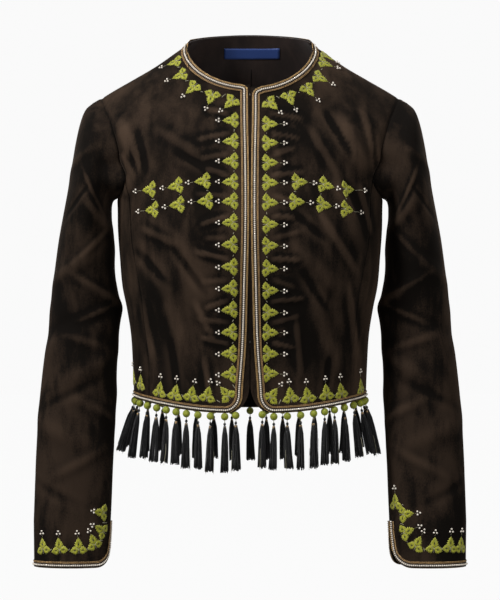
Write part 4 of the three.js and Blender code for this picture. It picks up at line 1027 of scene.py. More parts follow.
# Its rings from the edge to the slot: sizes as shares of the edge, height, and how far in a ring lies
lobeRings = table("along across high inwards",
                  (1, 1, 0, 0), (0.88, 0.84, 0.55, 0.3), (0.56, 0.46, 0.85, 0.7), (0.17, 0.1, 0.3, 1))
lobeMiddle = 0.42


# One lobe, from its foot at the origin to its tip at X = 1: a padded shape with an open slot
def modelLobe():
    right = list(zip(lobeEdge["along"], lobeEdge["half"]))
    edge = [(1.0, 0.0)] + right[::-1] + [(x, -y) for x, y in right]
    bpy.ops.mesh.primitive_circle_add(vertices=len(edge), radius=mm)
    lobe = bpy.context.active_object
    for number, (x, y) in enumerate(edge):
        editShape(lobe, lambda at, index: index == number)
        bpy.ops.transform.translate(value=Vector((x, y, 0)) * mm - lobe.data.vertices[number].co)
    bpy.ops.mesh.select_all(action="SELECT")
    bpy.ops.mesh.edge_face_add()
    bpy.ops.mesh.select_mode(type="FACE")
    rings = list(zip(lobeRings["along"], lobeRings["across"], lobeRings["high"]))
    for before, after in zip(rings[:-1], rings[1:]):
        rise = (0, 0, (after[2] - before[2]) * mm)
        bpy.ops.mesh.extrude_region_move(TRANSFORM_OT_translate={"value": rise})
        bpy.ops.transform.resize(value=(after[0] / before[0], after[1] / before[1], 1),
                                 center_override=(lobeMiddle * mm, 0, 0))
    bpy.ops.object.mode_set(mode="OBJECT")
    return takeShape(lobe)


# U runs round the lobe's middle and V inwards, for the stitches
def lobeUv(shape):
    uv = []
    for face in shape["faces"]:
        at = shape["points"][face]
        turn = np.arctan2(at[:, 1], at[:, 0] - lobeMiddle) / (2 * math.pi)
        if turn.max() - turn.min() > 0.5:
            turn = np.where(turn < 0, turn + 1, turn)
        ring = np.abs(at[:, 2:3] - np.array([lobeRings["high"]])).argmin(axis=1)
        uv.append(np.stack([turn, np.array(lobeRings["inwards"])[ring]], axis=1))
    return np.concatenate(uv)


# The leaf: three lobes that meet at the origin, the long one along +X
def modelLeaf():
    lobe = modelLobe()
    uv = lobeUv(lobe)
    pile = Pile()
    for turn in (0, leaf["sideTurn"], -leaf["sideTurn"]):
        long, half = (leaf["sideLong"], leaf["sideHalf"]) if turn else (leaf["tipLong"], leaf["tipHalf"])
        turned = np.array(Matrix.Rotation(math.radians(turn), 3, "Z"))
        pile.add(lobe["points"] * (long, half, 1) @ turned.T, lobe["faces"], uv)
    return {"points": np.concatenate(pile.points), "faces": pile.faces, "uv": np.concatenate(pile.uv)}


# The pale stitches between the lobes
def modelVeins():
    pile = Pile()
    for turn in leaf["veinTurns"]:
        angle = math.radians(turn)
        direction = np.array([math.cos(angle), math.sin(angle), 0])
        path = np.array([direction * leaf["veinLong"] * share + (0, 0, 0.55 - 0.4 * share)
                         for share in (-0.15, 0.3, 0.7, 1)])
        sweepCord(pile, path, np.array([(0, 0, 1.0)] * len(path)), leaf["veinRadius"], 5)
    return {"points": np.concatenate(pile.points), "faces": pile.faces, "uv": np.concatenate(pile.uv)}


# Lays a flat shape on the cloth, with +X along a direction; its heights stand off the cloth
def layOnCloth(pile, shape, place, normal, direction, slot=0):
    forward = (direction - normal * direction.dot(normal)).normalized()
    sideways = normal.cross(forward)
    points = []
    for x, y, z in shape["points"]:
        near, out = onCloth(place + forward * x + sideways * y)
        out = (out * 0.4 + normal * 0.6).normalized()
        points.append(near + out * (z + leaf["lift"]))
    pile.add(np.array(points), shape["faces"], shape["uv"], slot)


# Embroidery and beads

cluster = {"beadRadius": 1.38, "spread": 2.35}
# Single stitches, to a leaf's beads and to the next leaf where it's within reach
stitch = {"reach": 8.5, "toBeads": {"radius": 0.2, "bow": 0.5}, "toNextLeaf": {"radius": 0.35, "bow": 0.8}}
# Where the lobes of each leaf meet and the middle of its beads, in the photograph's pixels
frontColumn = {
    "right": {"topX": 234.3, "lowX": 232.4, "beadX": 218, "y": (
        120.2, 140.9, 160.9, 181.5, 201.1, 222.1, 244.5, 266.9, 288.3, 309.6, 332, 353.7, 374.4)},
    "left": {"topX": 266.5, "lowX": 267, "beadX": 285, "y": (
        123.7, 142.9, 162.6, 182.5, 202.2, 224.6, 245.9, 268.3, 290.7, 312.4, 332.3, 353.7, 373.7)},
}
leafRows = {
    "neck": table("x y beadX beadY",
                  (177.2, 61, 161.5, 67.6), (182.8, 74, 167, 81), (194.5, 86, 183, 96.5),
                  (212.4, 94.6, 206, 109), (232.7, 100.4, 220.5, 111),
                  (324.5, 54.3, 340, 59.5), (322.6, 62, 338, 68.3), (317.5, 76.4, 333, 84.8),
                  (306.8, 87.8, 318.4, 100.8), (288.7, 95.4, 296, 110.4), (269, 102.2, 280.7, 112.9)),
    "chest": table("x y beadX beadY",
                   (206, 180.8, 187.8, 182.8), (178.6, 185.3, 162.4, 188.4), (151.8, 189.3, 135.5, 191.4),
                   (208.6, 201, 190.6, 202), (180.2, 204.5, 164.6, 207.2), (154.6, 209.5, 138.3, 211.6),
                   (296.2, 181.9, 314.5, 183.3), (323, 184.4, 338, 188.7), (345.6, 189.1, 364.7, 190.6),
                   (293.6, 201.4, 311.1, 202.9), (320.8, 204.4, 336.9, 206.2), (345, 208.9, 361.1, 212.6)),
    "hem": table("x y beadX beadY",
                 (140.5, 386, 141, 369), (159.1, 393, 161, 376), (174.6, 396, 177, 378),
                 (190.9, 397.3, 195, 381), (207, 397.8, 210.5, 381), (228.2, 396.1, 218, 383),
                 (270.5, 398, 281, 384), (290.9, 398.5, 289, 381), (308.2, 398.5, 306, 381),
                 (326.8, 395.6, 325, 378), (341.6, 394.2, 340, 376), (361.1, 389.8, 360, 371)),
    "cuff": table("x y beadX beadY",
                  (43.2, 549.7, 42.3, 532.8), (59.6, 549.7, 58.4, 533.1), (78.8, 549.7, 77.1, 532.8),
                  (94.9, 544.9, 88.6, 530.8), (103.2, 531.7, 92, 525.1), (103.8, 512.7, 92.9, 511),
                  (395.2, 505.3, 394.8, 487.7), (403, 514.4, 418.5, 513), (404.1, 532.8, 419.9, 526.2),
                  (415.6, 546.6, 423.6, 531.1), (434, 548.9, 435.4, 532), (450.3, 548.3, 451.2, 530.8),
                  (461.2, 548.3, 461.5, 530.5)),
}
frontPixel = 1.31  # millimetres on the front's surface
# The same leaves carried on where the photograph doesn't show them: places along the hem from the front
# edge, and turns round each cuff
hiddenLeaves = {"hemStart": {"right": 196, "left": 206}, "pitch": 22, "joinUp": 22, "beadUp": 44,
                "seamMargin": 9, "cuffTurns": (20, 54, 88, 122, 156), "cuffJoinUp": 19, "cuffBeadUp": 41}


def pixelLeaves():
    places = [row for rows in leafRows.values() for row in zip(*rows.values())]
    for column in frontColumn.values():
        for number, y in enumerate(column["y"]):
            x = mix(column["topX"], column["lowX"], number / (len(column["y"]) - 1))
            places.append((x, y, column["beadX"], y + 0.4))
    leaves = []
    for x, y, beadX, beadY in places:
        place, normal = atPixel(x, y)
        beadPlace, beadNormal = atPixel(beadX, beadY)
        if (beadPlace - place).length > 2 * leaf["tipLong"] + 10:
            offset = Vector((beadX - x, 0, y - beadY)) * frontPixel
            beadPlace, beadNormal = onCloth(place + offset)
        leaves.append((place, normal, beadPlace, beadNormal))
    return leaves


def sideHemLeaves():
    leaves = []
    for side in ("right", "left"):
        row = np.concatenate([frontGrids[side][0], sideFronts[side][0, 1:]])[:, :3]
        lengths = lengthsAlong(row) + abs(row[0, 0])
        end = lengths[-1] - hiddenLeaves["seamMargin"]
        for length in np.arange(hiddenLeaves["hemStart"][side], end, hiddenLeaves["pitch"]):
            at = Vector([np.interp(length, lengths, row[:, axis]) for axis in range(3)])
            place, normal = onCloth(at + Vector((0, 0, hiddenLeaves["joinUp"])))
            beadPlace, beadNormal = onCloth(at + Vector((0, 0, hiddenLeaves["beadUp"])))
            leaves.append((place, normal, beadPlace, beadNormal))
    return leaves


def backCuffLeaves():
    leaves = []
    for side in ("right", "left"):
        _, grid = sleeveParts[side]
        centre = grid[-1].mean(axis=0)[:3]
        for turn in hiddenLeaves["cuffTurns"]:
            angle = math.radians(turn)
            out = Vector((math.cos(angle), math.sin(angle), 0))
            found = []
            for up in (hiddenLeaves["cuffJoinUp"], hiddenLeaves["cuffBeadUp"]):
                at = Vector(centre) + Vector((0, 0, up))
                place, normal, _, _ = cloth.ray_cast(at + out * 90, -out)
                found += [place, normal]
            leaves.append(tuple(found))
    return leaves


def addCluster(pile, place, normal, direction):
    forward = (direction - normal * direction.dot(normal)).normalized()
    sideways = normal.cross(forward)
    for turn in (0, 120, 240):
        angle = math.radians(turn)
        offset = (forward * math.cos(angle) + sideways * math.sin(angle)) * cluster["spread"]
        near, out = onCloth(place + offset)
        centre = near + out * cluster["beadRadius"] * 0.8
        turned = Matrix((forward, sideways, normal)).transposed()
        points = [centre + turned @ Vector(point * cluster["beadRadius"])
                  for point in beadShape["points"][:, [2, 0, 1]]]
        pile.add(np.array(points), beadShape["faces"], None)


def addStitch(pile, start, end, radius, bow):
    length = max((end - start).length, 0.5)
    pathPoints, pathNormals = [], []
    for share in np.linspace(0, 1, max(int(length / 1.2), 4)):
        near, out = onCloth(start.lerp(end, share))
        pathPoints.append(near + out * (radius * 0.6 + bow * math.sin(math.pi * share) * 0.5))
        pathNormals.append(out)
    sweepCord(pile, np.array(pathPoints), np.array(pathNormals), radius, 5)


# Frames along a path: direction, sideways and outward
def pathFrames(points, normals):
    along = np.gradient(points, axis=0)
    along /= np.linalg.norm(along, axis=1, keepdims=True)
    out = normals - along * (normals * along).sum(axis=1, keepdims=True)
    out /= np.linalg.norm(out, axis=1, keepdims=True)
    return along, np.cross(out, along), out


# A round or flattened cord along a path; squash and pitch give it the relief of a twist
def sweepCord(pile, points, normals, radius, sides, aside=0.0, lift=0.0, squash=1.0, pitch=0.0, slot=0):
    along, across, out = pathFrames(points, normals)
    centre = points + across * np.reshape(aside, (-1, 1)) + out * np.reshape(lift, (-1, 1))
    length = lengthsAlong(points)
    turn = np.arange(sides) / sides * 2 * math.pi
    twist = length / pitch * 2 * math.pi if pitch else np.zeros(len(points))
    swell = 1 - (1 - squash) * (0.5 + 0.5 * np.cos(2 * (turn[None] - twist[:, None])))
    ring = (centre[:, None] + across[:, None] * (np.cos(turn) * swell * radius)[..., None]
            + out[:, None] * (np.sin(turn) * swell * radius)[..., None])
    count = len(points)
    faces, uv = [], []
    for step in range(count - 1):
        for corner in range(sides):
            after = (corner + 1) % sides
            faces.append([step * sides + corner, step * sides + after, (step + 1) * sides + after,
                          (step + 1) * sides + corner])
            low, high = length[step] / 2, length[step + 1] / 2
            v = corner / sides
            uv += [(low, v), (low, v + 1 / sides), (high, v + 1 / sides), (high, v)]
    for step, order in ((0, range(sides - 1, -1, -1)), (count - 1, range(sides))):
        faces.append([step * sides + corner for corner in order])
        uv += [(length[step] / 2, 0.5)] * sides
    pile.add(ring.reshape(-1, 3), [face[::-1] for face in faces], reversedCorners(faces, uv), slot)


def reversedCorners(faces, uv):
    turned = []
    start = 0
    for face in faces:
        turned += uv[start:start + len(face)][::-1]
        start += len(face)
    return turned


def makeEmbroidery():
    leaves, beads, links = Pile(), Pile(), Pile()
    places = pixelLeaves() + sideHemLeaves() + backCuffLeaves()
    leafShape, veinShape = modelLeaf(), modelVeins()
    chance = random.Random(3)
    spots = []
    for place, normal, beadPlace, beadNormal in places:
        direction = beadPlace - place
        lean = Matrix.Rotation(math.radians(chance.uniform(-1, 1) * leaf["turnSpread"]), 3, normal)
        layOnCloth(leaves, leafShape, place, normal, lean @ direction)
        layOnCloth(leaves, veinShape, place, normal, lean @ direction, slot=1)
        addCluster(beads, beadPlace, beadNormal, direction)
        forward = (direction - normal * direction.dot(normal)).normalized()
        sideways = normal.cross(forward)
        reach = leaf["sideLong"] + 1.0
        tip = place + forward * (leaf["tipLong"] + 1.0)
        addStitch(links, tip, beadPlace - forward * cluster["spread"] * 1.3, **stitch["toBeads"])
        spots.append((place + sideways * reach, place - sideways * reach))
    tips = [tip for pair in spots for tip in pair]
    for first in range(len(spots)):
        for second in range(first + 1, len(spots)):
            pairs = [(a, b) for a in spots[first] for b in spots[second]]
            a, b = min(pairs, key=lambda pair: (pair[0] - pair[1]).length)
            if (a - b).length < stitch["reach"]:
                addStitch(links, a, b, **stitch["toNextLeaf"])
    ridesOnBody(leaves.make("embroidered_leaves", [looks["leaf"], looks["link"]]), "velvet")
    ridesOnBody(beads.make("bead_clusters", [looks["bead"]]), "braid")
    ridesOnBody(links.make("link_stitches", [looks["link"]]), "velvet")
    print(f"stage: {len(places)} leaves are laid, with their beads")


beadShape = modelBead()
makeEmbroidery()

# The trims: two braids with a row of beads between them

trim = {"inset": 0.9, "width": 9.5, "cornerRadius": 23, "inner": (-4.7, -3.4), "outer": (3.0, 4.2), "lift": 0.7,
        "cordRadius": 0.58, "beadPitch": 2.7, "beadLong": 1.22, "beadWide": 1.3, "step": 0.9, "twist": 2.6,
        "turnedIn": 2.4, "turnedOuter": (3.0, 3.3), "turnedLift": (-0.1, -1.3), "turnLong": 14}
trimMiddle = trim["inset"] + trim["width"] / 2
frontTrimRows = table(
    "z x",
    (-500, 10.4), (-462, 9.4), (-403, 5.2), (-327, 3), (-235, 1.2), (-160, 1.6), (-100, 2.7), (-50, 2.8))


# Points evenly along a path, each put on the cloth. The fourth column says how far the trim's outer braid is
# turned in under the edge there.
def evenPath(points, step):
    points = np.asarray(points)
    length = lengthsAlong(points[:, :3])
    wanted = np.linspace(0, length[-1], max(int(length[-1] / step), 3))
    even = np.stack([np.interp(wanted, length, points[:, axis]) for axis in range(4)], axis=1)
    places, normals = [], []
    for point in even[:, :3]:
        near, out = onCloth(point)
        places.append(near)
        normals.append(out)
    normals = np.array(normals)
    for _ in range(6):
        normals[1:-1] = (normals[:-2] + 2 * normals[1:-1] + normals[2:]) / 4
    return np.array(places), normals / np.linalg.norm(normals, axis=1, keepdims=True), even[:, 3]


def withTurned(points, turned):
    return np.column_stack([points, np.full(len(points), turned)])


# The line at a distance inside an edge of the cloth
def insideEdge(points, inward, distance):
    points, inward = points[:, :3], inward[:, :3]
    along = np.gradient(points, axis=0)
    along /= np.linalg.norm(along, axis=1, keepdims=True)
    back = inward - points
    back -= along * (back * along).sum(axis=1, keepdims=True)
    back /= np.linalg.norm(back, axis=1, keepdims=True)
    return points + back * np.reshape(distance, (-1, 1))


def frontFacing(x, z):
    place, _, _, _ = cloth.ray_cast(Vector((x, -400, z)), Vector((0, 1, 0)))
    return place


def frontTrimPath(side):
    hand = handOf[side]
    grid = frontGrids[side]
    neckSpan = slice(steps["neck"], 0, -1)
    neck = insideEdge(grid[-1, neckSpan], grid[-4, neckSpan], trimMiddle)
    cornerZ = jacket["neckPointZ"] - jacket["frontNeckDrop"][side] - trimMiddle
    edge = lambda z: float(readTable(frontTrimRows, z, "x")) + trim["width"] / 2
    round_ = 7.0 if side == "left" else 2.2
    neck = neck[np.abs(neck[:, 0]) > edge(cornerZ) + round_ + 1]
    flat = []
    for turn in np.linspace(90, 0, 6):
        angle = math.radians(turn)
        flat.append((edge(cornerZ) + round_ * (1 - math.cos(angle)), cornerZ - round_ * (1 - math.sin(angle))))
    bendZ = jacket["hemCentreZ"] + trim["inset"] + trim["cornerRadius"]
    flat += [(edge(z), z) for z in np.arange(cornerZ - round_ - 6, bendZ, -6)]
    straight = len(flat)
    middleRadius = trim["cornerRadius"] - trim["width"] / 2
    bendX = edge(bendZ) + middleRadius
    turns = np.radians(np.linspace(0, 90, 10))
    for angle in turns:
        flat.append((bendX - middleRadius * math.cos(angle),
                     bendZ - (middleRadius + trim["turnedIn"]) * math.sin(angle)))
    down = np.array([frontFacing(hand * x, z) for x, z in flat])
    turned = np.concatenate([np.zeros(straight), np.sin(turns) ** 3])
    hemPoints = np.concatenate([grid[0], sideFronts[side][0, 1:]])
    hemInward = np.concatenate([grid[4], sideFronts[side][4, 1:]])
    hem = insideEdge(hemPoints, hemInward, trimMiddle - trim["turnedIn"])
    hem = hem[np.abs(hem[:, 0]) > bendX + 2]
    return np.concatenate([withTurned(neck, 0.0), withTurned(down, turned), withTurned(hem, 1.0)])


def backNeckPath():
    span = slice(steps["shoulder"], steps["shoulder"] + steps["backNeck"] + 1)
    return withTurned(insideEdge(middle[-1, span], middle[-4, span], trimMiddle), 0.0)


def backHemPath():
    points = np.concatenate([backSides["left"][0, ::-1], middle[0, 1:], backSides["right"][0, 1:]])
    inward = np.concatenate([backSides["left"][4, ::-1], middle[4, 1:], backSides["right"][4, 1:]])
    return withTurned(insideEdge(points, inward, trimMiddle - trim["turnedIn"]), 1.0)


def cuffPath(side):
    _, grid = sleeveParts[side]
    down, width = grid[1:-3, 0], grid.shape[1]
    up = grid[1:-3, -1][::-1]
    bottom = grid[-1, 2:-2]
    points = np.concatenate([down, bottom, up])
    columns = np.arange(2, width - 2)
    towardsMiddle = np.where(columns < width // 2, columns + 3, columns - 3)
    inward = np.concatenate([grid[1:-3, 3], grid[-4, towardsMiddle], grid[1:-3, width - 4][::-1]])
    lengths = lengthsAlong(bottom[:, :3])
    turned = smooth(0, trim["turnLong"], np.minimum(lengths, lengths[-1] - lengths))
    turned = np.concatenate([np.zeros(len(down)), turned, np.zeros(len(up))])
    return withTurned(insideEdge(points, inward, trimMiddle - trim["turnedIn"] * turned), turned)


# The two cords beside the edge are gold, and the two towards the cloth are brown
def makeTrim(name, path, edgePoint):
    points, normals, turned = evenPath(path, trim["step"])
    _, across, _ = pathFrames(points, normals)
    near = np.linalg.norm(points - edgePoint, axis=1).argmin()
    edgeSign = math.copysign(1, (edgePoint - points[near]) @ across[near])
    pile = Pile()
    for place in (0, 1):
        twist = trim["twist"] * (1 if place else -1)
        sweepCord(pile, points, normals, trim["cordRadius"], 6, aside=edgeSign * trim["inner"][place],
                  lift=trim["lift"], squash=0.68, pitch=twist, slot=1)
        outer = mix(trim["outer"][place], trim["turnedOuter"][place], turned)
        sweepCord(pile, points, normals, trim["cordRadius"], 6, aside=edgeSign * outer,
                  lift=mix(trim["lift"], trim["turnedLift"][place], turned), squash=0.68, pitch=twist,
                  slot=0)
    addBand(pile, points, normals, turned, edgeSign)
    beadPoints, beadNormals, _ = evenPath(path, trim["beadPitch"])
    along, across, out = pathFrames(beadPoints, beadNormals)
    for place in range(len(beadPoints)):
        local = beadShape["points"]
        centre = beadPoints[place] + out[place] * trim["beadWide"]
        points = (centre + along[place] * (local[:, 2:3] * trim["beadLong"])
                  + across[place] * (local[:, 0:1] * trim["beadWide"])
                  + out[place] * (local[:, 1:2] * trim["beadWide"]))
        pile.add(points, beadShape["faces"], None, 2)
    piece = pile.make(f"{name}_braids", [looks["goldBraid"], looks["brownBraid"], looks["bead"], looks["tape"]])
    return ridesOnBody(piece, "braid", name)


# The flat tape that carries the braids and beads
def addBand(pile, points, normals, turned, edgeSign):
    _, across, out = pathFrames(points, normals)
    half = trim["width"] / 2 + 0.3
    flat = 0 * turned
    sides = [(-half + flat, flat + 0.05), (-half + 0.4 + flat, flat + 0.4),
             (mix(half - 0.4, 3.1, turned), flat + 0.4), (mix(half, 3.3, turned), mix(0.05, -1.6, turned))]
    ring = np.stack([points + across * (edgeSign * aside)[:, None] + out * lift[:, None]
                     for aside, lift in sides], axis=1)
    count = len(points)
    faces = []
    for step in range(count - 1):
        for corner in range(4):
            after = (corner + 1) % 4
            faces.append([step * 4 + corner, step * 4 + after, (step + 1) * 4 + after, (step + 1) * 4 + corner])
    faces.append([3, 2, 1, 0])
    faces.append([(count - 1) * 4 + corner for corner in range(4)])
    pile.add(ring.reshape(-1, 3), faces if edgeSign > 0 else [face[::-1] for face in faces], None, 3)


for side in ("right", "left"):
    makeTrim(f"trim_front_{side}", frontTrimPath(side),
                                           frontGrids[side][0, -1, :3])
    makeTrim(f"trim_cuff_{side}", cuffPath(side),
                                          sleeveParts[side][1][-1, steps["cuff"], :3])
middleColumn = middle.shape[1] // 2
makeTrim("trim_back_neck", backNeckPath(), middle[-1, middleColumn, :3])
makeTrim("trim_back_hem", backHemPath(), middle[0, middleColumn, :3])
print("stage: the trims are made")

# The lining of the back, its centre pleat and the bare label

lining = {"gap": 0.8, "thickness": 1.0, "firstRow": 24, "margin": 6, "pleatX": 1.5,
          "pleatTopZ": -27, "pleatLowZ": -420, "pleatRadius": 0.6}


def makeLiningBack():
    rows = slice(lining["firstRow"], None)
    columns = slice(lining["margin"], -lining["margin"])
    grid = middle[rows, columns]
    sheet = sheetFrom([(grid, "", False)])
    faceOutward("lining", sheet)
    shareNormals([sheet])
    inset = jacket["wall"] + lining["gap"]
    sheet["points"] = sheet["points"] - sheet["normals"] * inset
    inner = sheet["points"] - sheet["normals"] * lining["thickness"]
    count = len(inner)
    faces = sheet["quads"].tolist() + (sheet["quads"][:, ::-1] + count).tolist()
    faces += [(b, a, count + a, count + b) for a, b in openEdges(sheet["quads"])]
    piece = makePiece("lining_back_cloth", np.concatenate([sheet["points"], inner]), faces, [looks["lining"]])
    ridesOnBody(piece, "lining", "lining_back")
    return BVHTree.FromPolygons(inner.tolist(), sheet["quads"].tolist())


# The pressed edge of the centre pleat, coloured near black as painted shade in its fold
def makePleat(surface):
    points, normals = [], []
    for z in np.arange(lining["pleatTopZ"], lining["pleatLowZ"], -8):
        hit, normal, _, _ = surface.ray_cast(Vector((lining["pleatX"], -200, z)), Vector((0, 1, 0)))
        if hit is not None:
            points.append(hit)
            normals.append(-normal if normal.y > 0 else normal)
    pile = Pile()
    sweepCord(pile, np.array(points), np.array(normals), lining["pleatRadius"], 6)
    ridesOnBody(pile.make("lining_pleat", [looks["shadedFacing"]]), "lining")


label = {"wide": 76, "high": 14, "x": 2.6, "z": -6.5, "gap": 0.35, "thickness": 0.5, "cutsAcross": 24}


def makeLabel(surface):
    bpy.ops.mesh.primitive_grid_add(x_subdivisions=label["cutsAcross"], y_subdivisions=6, size=mm)
    piece = bpy.context.active_object
    shape = takeShape(piece)
    points = []
    for x, z, _ in shape["points"]:
        at = Vector((label["x"] + x * label["wide"], -200, label["z"] + z * label["high"]))
        hit, normal, _, _ = surface.ray_cast(at, Vector((0, 1, 0)))
        inward = -normal if normal.y > 0 else normal
        points.append(hit + inward * label["gap"])
    points = np.array(points)
    front = points + np.array([0, -label["thickness"], 0])
    count = len(points)
    faces = [face[::-1] for face in shape["faces"]]
    known = {(face[i], face[(i + 1) % 4]) for face in faces for i in range(4)}
    rim = [(b, a, count + a, count + b) for a, b in known if (b, a) not in known]
    backFaces = [[index + count for index in face[::-1]] for face in faces]
    piece = makePiece("neck_label_cloth", np.concatenate([points, front]), faces + backFaces + rim,
                      [looks["label"]])
    ridesOnBody(piece, "label", "neck_label")


liningSurface = makeLiningBack()
makeLabel(liningSurface)
makePleat(liningSurface)

# Hooks and eyes of steel wire, inside the front edges

hooks = {"heights": {"neck": -72, "waist": -399}, "long": 9, "half": 2.2, "wire": 0.5}


def makeHooks():
    flat = jacket["wall"] + 0.6 + hooks["wire"]
    long, half = hooks["long"], hooks["half"]
    for place, z in hooks["heights"].items():
        surface = frontFacing(-1.5, z)
        shapes = {
            "hook": ((-long, z + half, flat), (-long * 0.4, z + half * 0.4, flat), (half, z, flat),
                     (half * 1.3, z, flat + 1.2), (half, z, flat + 2.4), (-half, z, flat + 2.4)),
            "eye": ((long, z + half, flat), (long * 0.45, z + half, flat + 1), (0, z + 0.9, flat + 1.2),
                    (-0.3, z, flat + 1.2), (0, z - 0.9, flat + 1.2), (long * 0.45, z - half, flat + 1),
                    (long, z - half, flat)),
        }
        for name, corners in shapes.items():
            path = np.array([(x, surface.y + depth, height) for x, height, depth in corners])
            curve = bpy.data.curves.new(f"{name}_{place}", "CURVE")
            curve.dimensions = "3D"
            curve.bevel_depth = hooks["wire"] * mm
            curve.bevel_resolution = 2
            spline = curve.splines.new("NURBS")
            spline.points.add(len(path) - 1)
            for point, at in zip(spline.points, path):
                point.co = (*(at * mm), 1)
            spline.use_endpoint_u = True
            spline.order_u = 3
            curve.use_fill_caps = True
            wire = bpy.data.objects.new(f"{name}_{place}_wire", curve)
            bpy.context.scene.collection.objects.link(wire)
            selectOnly(wire)
            bpy.ops.object.convert(target="MESH")
            wire = bpy.context.active_object
            wire.data.materials.append(looks["steel"])
            ridesOnBody(wire, "hook", f"{name}_{place}")


makeHooks()

# The tassels along the hem

tassel = {"ball": 5.0, "seamGap": 0.3, "splay": 16, "turnStep": 1.3, "knotZ": -10.0, "knotRadius": 2.0,
          "wrapZ": -14.8, "wrapRadius": 1.5, "rootZ": -12.5, "bottomZ": -72.0, "strands": 60, "segments": 5,
          "strandRadius": 0.56, "kinds": 6, "backLong": 0.93, "longSpread": 0.035, "bend": 2.6,
          "paleStrands": 2, "goldenAngle": 2.399963}
skirtRows = table("z radius", (-12.5, 1.4), (-16, 2.2), (-20, 3.3), (-28, 4.3), (-45, 5.2), (-72, 6.3))
frontTassels = {"right": (22, 37, 56, 73, 89, 104, 119, 135, 153, 172),
                "left": (19, 35, 53, 71, 89, 105, 120, 137, 155, 173)}
backTassels = {"count": 10, "start": 191, "stepsToMiddle": {"right": 9, "left": 10}}  # on each half


def modelBall():
    bpy.ops.mesh.primitive_uv_sphere_add(segments=20, ring_count=12, radius=tassel["ball"] * mm)
    ball = bpy.context.active_object
    editShape(ball, lambda at, index: abs(at.z) > tassel["ball"] * 0.98)
    bpy.ops.transform.resize(value=(1, 1, 0.8), center_override=(0, 0, 0))
    bpy.ops.object.mode_set(mode="OBJECT")
    return takeShape(ball)


def modelKnot():
    bpy.ops.mesh.primitive_uv_sphere_add(segments=10, ring_count=7, radius=tassel["knotRadius"] * mm)
    knot = bpy.context.active_object
    editShape(knot, lambda at, index: True)
    bpy.ops.transform.resize(value=(0.92, 0.92, 1.15), center_override=(0, 0, 0))
    bpy.ops.object.mode_set(mode="OBJECT")
    return takeShape(knot)


def modelWrap():
    bpy.ops.mesh.primitive_torus_add(major_segments=12, minor_segments=6,
                                     major_radius=tassel["wrapRadius"] * mm, minor_radius=0.45 * mm)
    return takeShape(bpy.context.active_object)


# The skirt's strands spread from under the knot, each with its own length and lean
def skirtStrands(seed):
    chance = random.Random(seed)
    pile = Pile()
    shares = np.linspace(0, 1, tassel["segments"] + 1)
    flatness = chance.uniform(0.75, 1.0)
    bend = np.array([chance.uniform(-1, 1), chance.uniform(-1, 1)]) * tassel["bend"]
    for number in range(tassel["strands"]):
        angle = number * tassel["goldenAngle"] + chance.uniform(-0.3, 0.3)  # it spreads them evenly
        ring = math.sqrt((number + 0.5) / tassel["strands"])
        long = chance.uniform(0.93, 1.0) if ring > 0.4 else chance.uniform(0.9, 0.97)
        pale = number >= tassel["strands"] - tassel["paleStrands"] and seed % 2
        z = mix(tassel["rootZ"], tassel["bottomZ"], mix(0.55, 1.03, shares) if pale else shares * long)
        radius = readTable(skirtRows, z, "radius") * ring * chance.uniform(0.88, 1.08)
        wave = chance.uniform(-0.18, 0.18) * shares + chance.uniform(-0.1, 0.1) * np.sin(shares * 5)
        x = radius * np.cos(angle + wave)
        y = radius * np.sin(angle + wave) * flatness
        points = np.stack([x + bend[0] * shares ** 2, y + bend[1] * shares ** 2, z], axis=1)
        outward = np.stack([np.cos(angle + wave), np.sin(angle + wave), 0 * z], axis=1)
        thick = tassel["strandRadius"] * (0.35 if pale else chance.uniform(0.8, 1.1))
        sweepCord(pile, points, outward, thick, 4, slot=3 if pale else 1)
    return pile


def makeTasselKinds():
    ball, knot, wrap = modelBall(), modelKnot(), modelWrap()
    kinds = []
    for seed in range(tassel["kinds"]):
        pile = skirtStrands(seed + 11)
        pile.add(ball["points"], ball["faces"], ball["uv"], 0)
        pile.add(knot["points"] + np.array([0, 0, tassel["knotZ"]]), knot["faces"], None, 1)
        for drop in (-0.8, 0, 0.8, 1.6):
            pile.add(wrap["points"] + np.array([0, 0, tassel["wrapZ"] + drop]), wrap["faces"], None, 2)
        for high, low in ((tassel["ball"] + tassel["seamGap"] + 0.7, tassel["ball"] * 0.8),
                          (-tassel["ball"] * 0.85, tassel["knotZ"])):
            stem = np.array([(0, 0, high), (0.3, 0, (high + low) / 2), (0, 0, low)])
            sweepCord(pile, stem, np.array([(1.0, 0, 0)] * 3), 0.5, 6, slot=3)
        kinds.append(pile)
    return kinds


def hemLine(side):
    halfBack = middle.shape[1] // 2
    backRow = middle[0, :halfBack + 1] if side == "left" else middle[0, ::-1][:halfBack + 1]
    inner = []
    for sheetName, grid in ((f"front_{side}", frontGrids[side][0]), (f"side_front_{side}", sideFronts[side][0]),
                            ("back", backSides[side][0, ::-1]), ("back", backRow)):
        inner.append(grid if not inner else grid[1:])
    points = np.concatenate(inner)[:, :3]
    normals = np.array([onCloth(point)[1] for point in points])
    return points - normals * jacket["wall"] / 2, normals, lengthsAlong(points) + abs(points[0, 0])


def tasselPlaces():
    places = []
    for side in ("right", "left"):
        points, normals, lengths = hemLine(side)
        pitch = (lengths[-1] - backTassels["start"]) / backTassels["stepsToMiddle"][side]
        wanted = list(frontTassels[side])
        wanted += [backTassels["start"] + pitch * number for number in range(backTassels["count"])]
        for length in wanted:
            at = np.array([np.interp(length, lengths, points[:, axis]) for axis in range(3)])
            normal = np.array([np.interp(length, lengths, normals[:, axis]) for axis in range(3)])
            clearance = tassel["ball"] + tassel["seamGap"]
            at[2] -= clearance
            while np.linalg.norm(points - at, axis=1).min() < clearance:
                at[2] -= 0.05
            places.append((at, normal))
    return places


